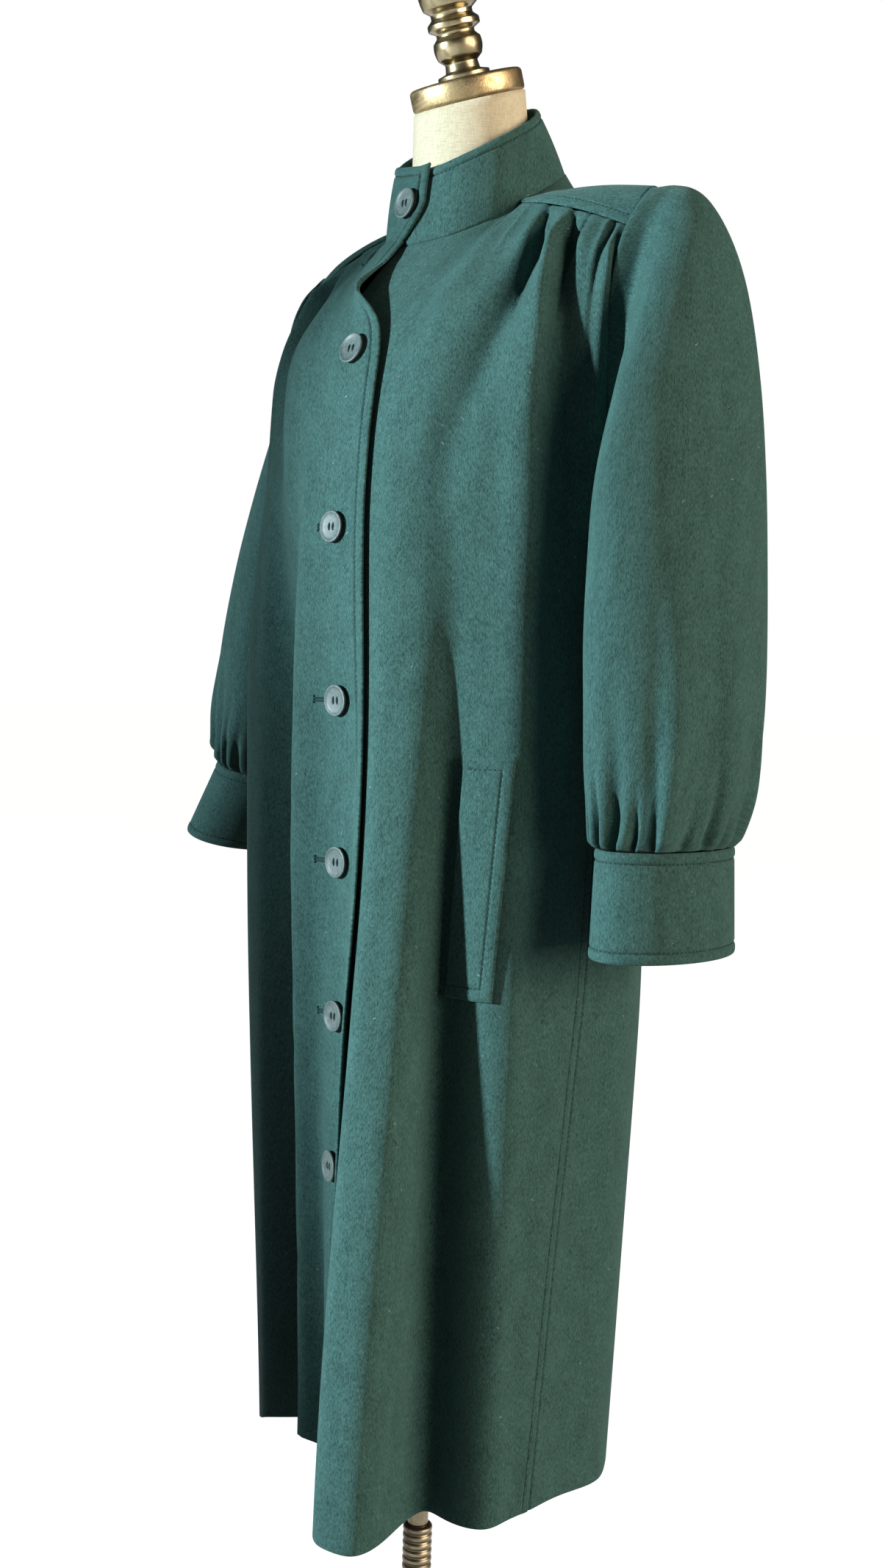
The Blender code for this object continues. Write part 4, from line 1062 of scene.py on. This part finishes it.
SLEEVE_RIGHT = {
    "ring": (0, 1, 2, 3, 4, 5, 6, 7, 8, 9, 10, 11),
    "top_side": (0.199, 0.205, 0.212, 0.228, 0.253, 0.281, 0.304, 0.320, 0.329, 0.332, 0.331, 0.328),
    "top_height": (1.374, 1.369, 1.341, 1.302, 1.256, 1.198, 1.128, 1.054, 0.999, 0.962, 0.934, 0.920),
    "low_side": (0.178, 0.190, 0.190, 0.188, 0.186, 0.185, 0.188, 0.198, 0.211, 0.226, 0.237, 0.243),
    "low_height": (1.165, 1.158, 1.142, 1.122, 1.095, 1.062, 1.022, 0.982, 0.950, 0.925, 0.907, 0.897),
    "back": (0.020, 0.026, 0.035, 0.042, 0.046, 0.048, 0.047, 0.045, 0.044, 0.042, 0.040, 0.039),
    "depth": (0.066, 0.054, 0.060, 0.066, 0.072, 0.076, 0.080, 0.082, 0.080, 0.075, 0.067, 0.061),
}
SLEEVE_POINTS = 260
SLEEVE_RINGS = np.concatenate([
    np.linspace(0.0, 2.0, 26),
    np.linspace(2.0, 9.0, 62)[1:],
    np.linspace(9.0, 11.0, 26)[1:],
])
GATHER_COUNT = 20
GATHER_DEEP = 0.0056
GATHER_RING = 10.5
FALL_DEEP = 0.0035
FALL_RING = 8.8
FALL_LONG = 1.9
ARM_GAP = {LEFT: 0.0008, RIGHT: 0.0012}
CREASES = (
    # turn round the sleeve in degrees, drift to the wrist, first ring, full ring, push, width in degrees
    (46, 8, 5.5, 9.0, -0.007, 8),
    (31, 8, 5.5, 9.0, 0.007, 9),
    (4, 6, 3.0, 6.0, -0.004, 8),
    (78, 6, 6.5, 9.5, -0.006, 7),
    (150, 4, 5.0, 9.0, -0.007, 9),
    (215, -8, 4.5, 9.0, -0.008, 9),
    (262, 6, 5.5, 9.0, 0.006, 10),
    (318, -6, 5.0, 9.0, -0.008, 9),
)


def armhole(side, front):
    """The armhole edge of the body as a loop: top of the shoulder, front, underarm, back."""
    front_edge = front[:FRONT_ARM_ROWS, -1]
    back_edge = back_edge_grid[:BACK_ARM_ROWS, 0 if side == LEFT else -1]
    over = yoke_edge_grid[-1, :YOKE_ARM] if side == LEFT else yoke_edge_grid[-1, ::-1][:YOKE_ARM]
    peak = int(np.argmax(over[:, 2]))
    to_front = over[: peak + 1][::-1]
    from_back = over[peak + 1:-1][::-1]
    loop = np.concatenate([to_front, front_edge[1:], back_edge[::-1][1:], from_back, to_front[:1]])
    run = run_of(loop[None], 1)[0]
    at = np.linspace(0.0, run[-1], SLEEVE_POINTS, endpoint=False)
    return points_at(loop, run, at)


def sleeve_face(side, front, table):
    """Outer face of one sleeve, from the armhole to the cuff seam."""
    around = np.linspace(0.0, 2 * math.pi, SLEEVE_POINTS, endpoint=False)
    share = (1 + np.cos(around)) / 2
    start = armhole(side, front)
    start[:, 0] = start[:, 0] + side * ARM_GAP[side]
    beat = np.cos(GATHER_COUNT * around + 0.9 * np.sin(3 * around + 1.1) + 0.5 * np.sin(7 * around))
    pleats = 1 - 2 * (0.5 - 0.5 * beat) ** 2.2
    climb = 1.15 + 0.55 * np.sin(5 * around + 1.7) * np.sin(2 * around + 0.3) + 0.35 * np.sin(9 * around)
    falls = np.cos(7 * around + 1.3 * np.sin(2 * around + 0.4))
    grid = []
    for ring in SLEEVE_RINGS:
        top = np.array([curve(table, "top_side", ring), curve(table, "top_height", ring)])
        low = np.array([curve(table, "low_side", ring), curve(table, "low_height", ring)])
        back = float(curve(table, "back", ring))
        depth = float(curve(table, "depth", ring))
        place = low + (top - low) * share[:, None]
        points = np.stack([place[:, 0], back - depth * np.sin(around), place[:, 1]], -1)
        gathered = GATHER_DEEP * np.exp(-(max(0.0, GATHER_RING - ring) / climb) ** 2)
        gathered = gathered * (1 - 0.5 * ease((ring - GATHER_RING) / 0.5))
        hung = FALL_DEEP * math.exp(-((ring - FALL_RING) / FALL_LONG) ** 2)
        crease = 0 * around
        for turn, drift, first, full, push, width in CREASES:
            share_down = ease((ring - first) / (full - first)) * (1 - 0.7 * ease(ring - 10.0))
            off = turn_off(np.degrees(around), turn + drift * ease((ring - first) / 5.0))
            crease = crease + push * share_down * np.exp(-(off / width) ** 2)
        swell = 1 + (gathered * pleats + hung * falls + crease) / depth
        middle = points.mean(0)
        points = middle + (points - middle) * swell[:, None]
        points[:, 0] *= side
        if ring < 1.0:
            set_in = math.sin(ring * math.pi / 2)
            points = start + (points - start) * set_in
        grid.append(points)
    return np.stack(grid)


for side, front_grid, table, label in (
    (LEFT, left_grid, SLEEVE_LEFT, "left"),
    (RIGHT, right_edge_grid, SLEEVE_RIGHT, "right"),
):
    sleeve_grid = sleeve_face(side, front_grid, table)
    sleeve_out = side * grid_normals(sleeve_grid, True)
    sleeve = cloth_shell("coat_sleeve_" + label, sleeve_grid, sleeve_out, CLOTH, closed=True)
    dress(sleeve, wool, "green_wool", "sleeve_" + label)


# The cuffs: deep doubled bands, turned over at the wrist and sewn to the gathered sleeves.
# A row of topstitching runs round each edge.
CUFF_DEEP = 0.086
CUFF_FLARE = 0.0030
CUFF_STITCH = 0.0090
CUFF_POINTS = 160
CUFF_DROPS = np.concatenate([
    [0.0, 0.0025, 0.0050, 0.0068],
    np.linspace(0.0078, 0.0102, 9),
    [0.0115, 0.014],
    np.linspace(0.018, CUFF_DEEP - 0.018, 14),
    [CUFF_DEEP - 0.014, CUFF_DEEP - 0.0115],
    np.linspace(CUFF_DEEP - 0.0102, CUFF_DEEP - 0.0078, 9),
    [CUFF_DEEP - 0.0068, CUFF_DEEP - 0.0050, CUFF_DEEP - 0.0025, CUFF_DEEP],
])


def cuff_face(side, table, swing, gap):
    """Outer face of one cuff: a plain band below the sleeve's last ring."""
    around = np.linspace(0.0, 2 * math.pi, CUFF_POINTS, endpoint=False)
    share = (1 + np.cos(around)) / 2
    top = np.array([table["top_side"][-1], table["top_height"][-1]])
    low = np.array([table["low_side"][-1], table["low_height"][-1]])
    place = low + (top - low) * share[:, None]
    depth = table["depth"][-1]
    first = np.stack([place[:, 0], table["back"][-1] - depth * np.sin(around), place[:, 1]], -1)
    away = unit(first - first.mean(0))
    cross = np.array([top[0] - low[0], 0.0, top[1] - low[1]])
    down = unit(np.cross(cross, np.array([0.0, 1.0, 0.0])))
    if down[2] > 0:
        down = -down
    down = unit(down + np.array(swing))
    drops = CUFF_DROPS[:, None, None]
    grid = first + down * (drops + gap) + away * CUFF_FLARE * drops / CUFF_DEEP
    grid[..., 0] *= side
    return grid


for side, table, label, swing, gap in (
    (LEFT, SLEEVE_LEFT, "left", (0.06, -0.06, 0.0), 0.0006),
    (RIGHT, SLEEVE_RIGHT, "right", (0.34, 0.0, 0.0), 0.0012),
):
    cuff_edge_grid = cuff_face(side, table, swing, gap)
    cuff_out = side * grid_normals(cuff_edge_grid, True)
    from_top = run_of(cuff_edge_grid, 0)
    from_low = from_top[-1:] - from_top
    cuff_grid = press(cuff_edge_grid, cuff_out, from_top, CUFF_STITCH)
    cuff_grid = press(cuff_grid, cuff_out, from_low, CUFF_STITCH)
    cuff = cloth_shell("coat_cuff_" + label, cuff_grid, cuff_out, DOUBLE, closed=True, turn=0.0018)
    dress(cuff, wool, "green_wool", "cuff_" + label)
    cuff_lines = [
        stitch_line(cuff_grid, cuff_out, from_top, CUFF_STITCH, 0),
        stitch_line(cuff_grid, cuff_out, from_low, CUFF_STITCH, 0, True),
    ]
    cuff_stitches = stitch_row("cuff_stitches_" + label, cuff_lines)
    "coat_sleeve_" + label


# The pocket welts: slanted doubled strips sewn over the pocket mouths on the fronts.
# Their open edge faces the side seam; they are topstitched along it and across both ends.
WELT = {
    "row": (0.435, 0.52, 0.61),
    "near": (53.5, 52.3, 51.0),
    "far": (66.0, 64.3, 62.5),
}
WELT_LIFT = {LEFT: 0.0011, RIGHT: 0.0006}
WELT_SHIFT = {LEFT: 0.0, RIGHT: 17.0}
WELT_STITCH = 0.0105
WELT_MOUTH_KEPT = slice(9, -9)
WELT_END_KEPT = slice(2, 26)
WELT_ROWS = np.concatenate([
    np.linspace(0.435, 0.4425, 4),
    np.linspace(0.4440, 0.4490, 11),
    np.linspace(0.4510, 0.5940, 40),
    np.linspace(0.5960, 0.6010, 11),
    np.linspace(0.6025, 0.61, 4),
])
WELT_SHARES = np.concatenate([np.linspace(0.0, 0.66, 14), np.linspace(0.68, 0.86, 22), [0.90, 0.95, 1.0]])


def welt_face(side):
    """Outer face of one welt, made from the points of its front moved out."""
    front = front_panel(side, rows=WELT_ROWS)
    grid = []
    for line, row in zip(front, WELT_ROWS):
        angles = np.abs(np.degrees(np.arctan2(line[:, 0], -line[:, 1])))
        low_angle = int(np.argmin(angles))
        near = float(curve(WELT, "near", row))
        far = float(curve(WELT, "far", row))
        at = near + (far - near) * WELT_SHARES + WELT_SHIFT[side]
        grid.append(points_at(line[low_angle:], angles[low_angle:], at))
    grid = np.stack(grid)
    normals = -side * grid_normals(grid)
    return grid + normals * (DOUBLE + WELT_LIFT[side]), normals


for side, label in ((LEFT, "left"), (RIGHT, "right")):
    welt_edge_grid, welt_out = welt_face(side)
    from_top = run_of(welt_edge_grid, 0)
    from_low = from_top[-1:] - from_top
    from_near = run_of(welt_edge_grid, 1)
    from_mouth = from_near[:, -1:] - from_near
    inset = np.minimum(np.minimum(from_top, from_low), from_mouth)
    welt_grid = press(welt_edge_grid, welt_out, inset, WELT_STITCH, 0.0010)
    welt = cloth_shell("pocket_welt_" + label, welt_grid, welt_out, DOUBLE, turn=0.0016)
    dress(welt, wool, "green_wool", "welt_" + label)
    welt_lines = []
    for run, axis, flip, kept in (
        (from_mouth, 1, True, WELT_MOUTH_KEPT),
        (from_top, 0, False, WELT_END_KEPT),
        (from_low, 0, True, WELT_END_KEPT),
    ):
        line, lean = stitch_line(welt_grid, welt_out, run, WELT_STITCH, axis, flip)
        welt_lines.append((line[kept], lean[kept]))
    welt_stitches = stitch_row("welt_stitches_" + label, welt_lines)
    "coat_front_" + label


# The buttons: seven dished discs of grey horn with a raised rim and four holes each.
# Dark thread through the holes, in two upright bars, fixes them to the lap and the collar.
BUTTON = (
    (0.0040, 0.0), (0.0090, 0.0005), (0.0125, 0.0016), (0.0132, 0.0029), (0.0127, 0.0037),
    (0.0117, 0.0039), (0.0107, 0.0034), (0.0098, 0.0029), (0.0060, 0.0026), (0.0020, 0.0025),
)
COLLAR_BUTTON = (1.403, -0.008)
BUTTON_LIFT = 0.0010
BUTTON_SIDES = 56
HOLE_OFF = 0.0024
HOLE_SIZE = 0.00095
HOLE_SIDES = 14
STRANDS = (-0.00042, 0.0, 0.00042)
STRAND_SIZE = 0.00030
STRAND_SIDES = 6
STRAND_TOP = 0.0034
STRAND_DIP = 0.0016


def button_model():
    """One button at the origin: a turned disc with four holes cut through it."""
    made = turned("button_model", BUTTON, BUTTON_SIDES, 0.0002, 1)
    for x in (-HOLE_OFF, HOLE_OFF):
        for y in (-HOLE_OFF, HOLE_OFF):
            bpy.ops.object.select_all(action="DESELECT")
            bpy.ops.mesh.primitive_cylinder_add(
                vertices=HOLE_SIDES, radius=HOLE_SIZE, depth=0.02, location=(x, y, 0.0)
            )
            drill = bpy.context.object
            bpy.ops.object.select_all(action="DESELECT")
            made.select_set(True)
            bpy.context.view_layer.objects.active = made
            cut = made.modifiers.new("hole", "BOOLEAN")
            cut.operation = "DIFFERENCE"
            cut.solver = "EXACT"
            cut.object = drill
            bpy.ops.object.modifier_apply(modifier="hole")
            bpy.data.objects.remove(drill, do_unlink=True)
    bpy.ops.object.shade_smooth_by_angle(angle=math.radians(35.0))
    return made


def thread_model():
    """The thread of one button at the origin: two bars of three strands that dip into the holes."""
    share = np.linspace(-1.0, 1.0, 13)
    swings = 2 * math.pi * np.arange(STRAND_SIDES) / STRAND_SIDES
    ring = STRAND_SIZE * np.stack([np.cos(swings), 0 * swings, np.sin(swings)], -1)
    points = []
    faces = []
    for x in (-HOLE_OFF, HOLE_OFF):
        for strand in STRANDS:
            first = len(points)
            line = np.stack([
                x + strand + 0 * share,
                share * (HOLE_OFF + 0.0003),
                STRAND_TOP - STRAND_DIP * np.abs(share) ** 4,
            ], -1)
            points.extend((line[:, None] + ring[None]).reshape(-1, 3))
            for step in range(len(line) - 1):
                for turn in range(STRAND_SIDES):
                    a = first + step * STRAND_SIDES + turn
                    b = first + step * STRAND_SIDES + (turn + 1) % STRAND_SIDES
                    faces.append((a, b, b + STRAND_SIDES, a + STRAND_SIDES))
            last = len(points) - STRAND_SIDES
            faces.append(tuple(range(first, first + STRAND_SIDES))[::-1])
            faces.append(tuple(range(last, last + STRAND_SIDES)))
    return mesh_piece("thread_model", np.array(points), faces)


horn = Finish("grey_horn", {"Coat Weight": 0.06, "Coat Roughness": 0.35})
streak = horn.noise((260.0, 90.0, 260.0), 4.0, 0.4, 1.2)
blotch = horn.noise((120.0, 120.0, 120.0), 3.0)
horn_colour = horn.mix(streak.past(0.36, 0.66), (0.032, 0.053, 0.049, 1.0), (0.068, 0.102, 0.095, 1.0))
horn.feed("Base Color", horn.mix(blotch.past(0.5, 0.7) * 0.5, horn_colour, (0.036, 0.053, 0.048, 1.0)))
horn.feed("Roughness", 0.46 + 0.2 * blotch)
horn.bump(streak, 0.0002, 0.3)

model = button_model()
thread_bars = thread_model()
tab_grid = collar_edge_grid[::-1, ::-1][:, :60]
places = [seat(tab_grid, *COLLAR_BUTTON)]
for level, across in zip(*BUTTONS.values()):
    places.append(seat(lap_grid, level, across))
for number, (point, normal) in enumerate(places, 1):
    upright = (Vector((0, 0, 1)) - normal * normal.z).normalized()
    beside = upright.cross(normal)
    turn = Matrix((beside, upright, normal)).transposed().to_4x4()
    place = Matrix.Translation(point + normal * BUTTON_LIFT) @ turn
    for source, name, finish, slot, nodes in (
        (model, "horn_button_", horn, "grey_horn", ["button_" + str(number)]),
        (thread_bars, "button_thread_", thread, "green_wool", []),
    ):
        copy = bpy.data.objects.new(name + str(number), source.data.copy())
        bpy.context.collection.objects.link(copy)
        copy.data.transform(place)
        dress(copy, finish, slot, *nodes)
bpy.data.objects.remove(model, do_unlink=True)
bpy.data.objects.remove(thread_bars, do_unlink=True)


# The floor: a wide pale studio floor under the form's foot.
# It glows a little, so that it stays white, and it sends no light back to the coat.
FLOOR_REACH = 30.0
bpy.ops.object.select_all(action="DESELECT")
bpy.ops.mesh.primitive_circle_add(vertices=96, radius=FLOOR_REACH, fill_type="NGON", location=(0, 0, 0))
floor = bpy.context.object
floor.name = "floor"
paper = Finish("pale_floor", {"Emission Color": (1.0, 1.0, 1.0, 1.0), "Emission Strength": 0.90})
mottle = paper.noise((3.0, 3.0, 3.0), 2.0)
paper.feed("Base Color", paper.mix(mottle, (0.28, 0.28, 0.28, 1.0), (0.30, 0.30, 0.29, 1.0)))
paper.feed("Roughness", 0.9 + 0.05 * mottle)
floor.data.materials.append(paper.material)
floor.visible_diffuse = False


# The light: a cool key from the coat's right front, in two beams that leave a dark band between them.
# A warm, broad light comes from its left side, and a dim, slightly blue room fills the rest.
ROOM = 0.055
BACKGROUND = 1.0
BEAM = math.radians(70.0)
REACH = 4.0
AIM = Vector((0.0, 0.0, 0.95))
LAMP_SIZE = 0.09
COOL = (0.84, 1.0, 1.10)
WARM = (1.16, 1.0, 0.84)
world = bpy.data.worlds.new("studio")
bpy.context.scene.world = world
world.use_nodes = True
room = world.node_tree
room.nodes.clear()


def backdrop(colour, strength):
    """One even background of the room."""
    made = room.nodes.new("ShaderNodeBackground")
    made.inputs["Color"].default_value = colour
    made.inputs["Strength"].default_value = strength
    return made.outputs["Background"]


path = room.nodes.new("ShaderNodeLightPath")
choose = room.nodes.new("ShaderNodeMixShader")
output = room.nodes.new("ShaderNodeOutputWorld")
room.links.new(path.outputs["Is Camera Ray"], choose.inputs["Fac"])
room.links.new(backdrop((0.80, 0.95, 1.0, 1.0), ROOM), choose.inputs[1])
room.links.new(backdrop((1.0, 1.0, 1.0, 1.0), BACKGROUND), choose.inputs[2])
room.links.new(choose.outputs["Shader"], output.inputs["Surface"])


def lamp_object(name, kind, strength, colour):
    """A lamp and its object in the scene."""
    lamp = bpy.data.lights.new(name, kind)
    lamp.energy = strength
    lamp.color = colour
    made = bpy.data.objects.new(name, lamp)
    bpy.context.collection.objects.link(made)
    return made


def way_to(azimuth, elevation):
    """The way to a lamp; azimuth 0 is in front of the coat and 90 on its left."""
    turn = math.radians(azimuth)
    rise = math.radians(elevation)
    return Vector((math.sin(turn) * math.cos(rise), -math.cos(turn) * math.cos(rise), math.sin(rise)))


def soft_light(name, azimuth, elevation, strength, spread, colour):
    """A broad even light from far away."""
    made = lamp_object(name, "SUN", strength, colour)
    made.data.angle = math.radians(spread)
    made.rotation_euler = (-way_to(azimuth, elevation)).to_track_quat("-Z", "Y").to_euler()


def cut_light(name, azimuth, elevation, edge, lean, sweep, soft, power, colour):
    """A lamp whose beam ends along a straight line beside the coat, swept to its left (-1) or right (1)."""
    made = lamp_object(name, "SPOT", power, colour)
    made.data.shadow_soft_size = LAMP_SIZE
    made.data.spot_size = 2 * BEAM
    made.data.spot_blend = soft
    source = way_to(azimuth, elevation)
    made.location = source * REACH + AIM
    level = Vector((0.0, 0.0, 1.0)).cross(source).normalized()
    axis = Matrix.Rotation(math.radians(lean), 3, source) @ source.cross(level)
    aim = Matrix.Rotation(sweep * BEAM - edge / REACH, 3, axis) @ (-source)
    made.rotation_euler = aim.to_track_quat("-Z", "Y").to_euler()


cut_light(
    "key", azimuth=-25.0, elevation=8.0, edge=-0.026, lean=6.0, sweep=-1,
    soft=0.022, power=1820.0, colour=COOL,
)
cut_light(
    "far_key", azimuth=-32.0, elevation=16.0, edge=-0.078, lean=0.0, sweep=1,
    soft=0.016, power=720.0, colour=COOL,
)
soft_light("side", azimuth=106.0, elevation=5.0, strength=5.4, spread=50.0, colour=WARM)
bpy.context.scene.view_settings.view_transform = "Standard"


# The camera: at chest height, off the coat's left front, looking a little down as in the photograph.
# Its focal length is given in pixels of the photograph's frame.
AZIMUTH = math.radians(46.0)
DISTANCE = 1.55
HEIGHT = 1.02
PITCH_DOWN = math.radians(4.0)
ROLL = math.radians(1.8)
FOCAL_PIXELS = 2400.0
PICTURE_HEIGHT = 2133.0
SENSOR = 36.0
toward = Vector((math.sin(AZIMUTH), -math.cos(AZIMUTH), 0.0))
level_right = Vector((math.cos(AZIMUTH), math.sin(AZIMUTH), 0.0))
forward = -toward * math.cos(PITCH_DOWN) + Vector((0.0, 0.0, -math.sin(PITCH_DOWN)))
level_up = level_right.cross(forward)
image_right = level_right * math.cos(ROLL) + level_up * math.sin(ROLL)
image_up = level_up * math.cos(ROLL) - level_right * math.sin(ROLL)
lens = bpy.data.cameras.new("camera")
lens.sensor_fit = "VERTICAL"
lens.sensor_height = SENSOR
lens.lens = FOCAL_PIXELS / PICTURE_HEIGHT * SENSOR
camera = bpy.data.objects.new("camera", lens)
bpy.context.collection.objects.link(camera)
stand = toward * DISTANCE + Vector((0.0, 0.0, HEIGHT))
view_turn = Matrix((image_right, image_up, -forward)).transposed().to_4x4()
camera.matrix_world = Matrix.Translation(stand) @ view_turn
bpy.context.scene.camera = camera
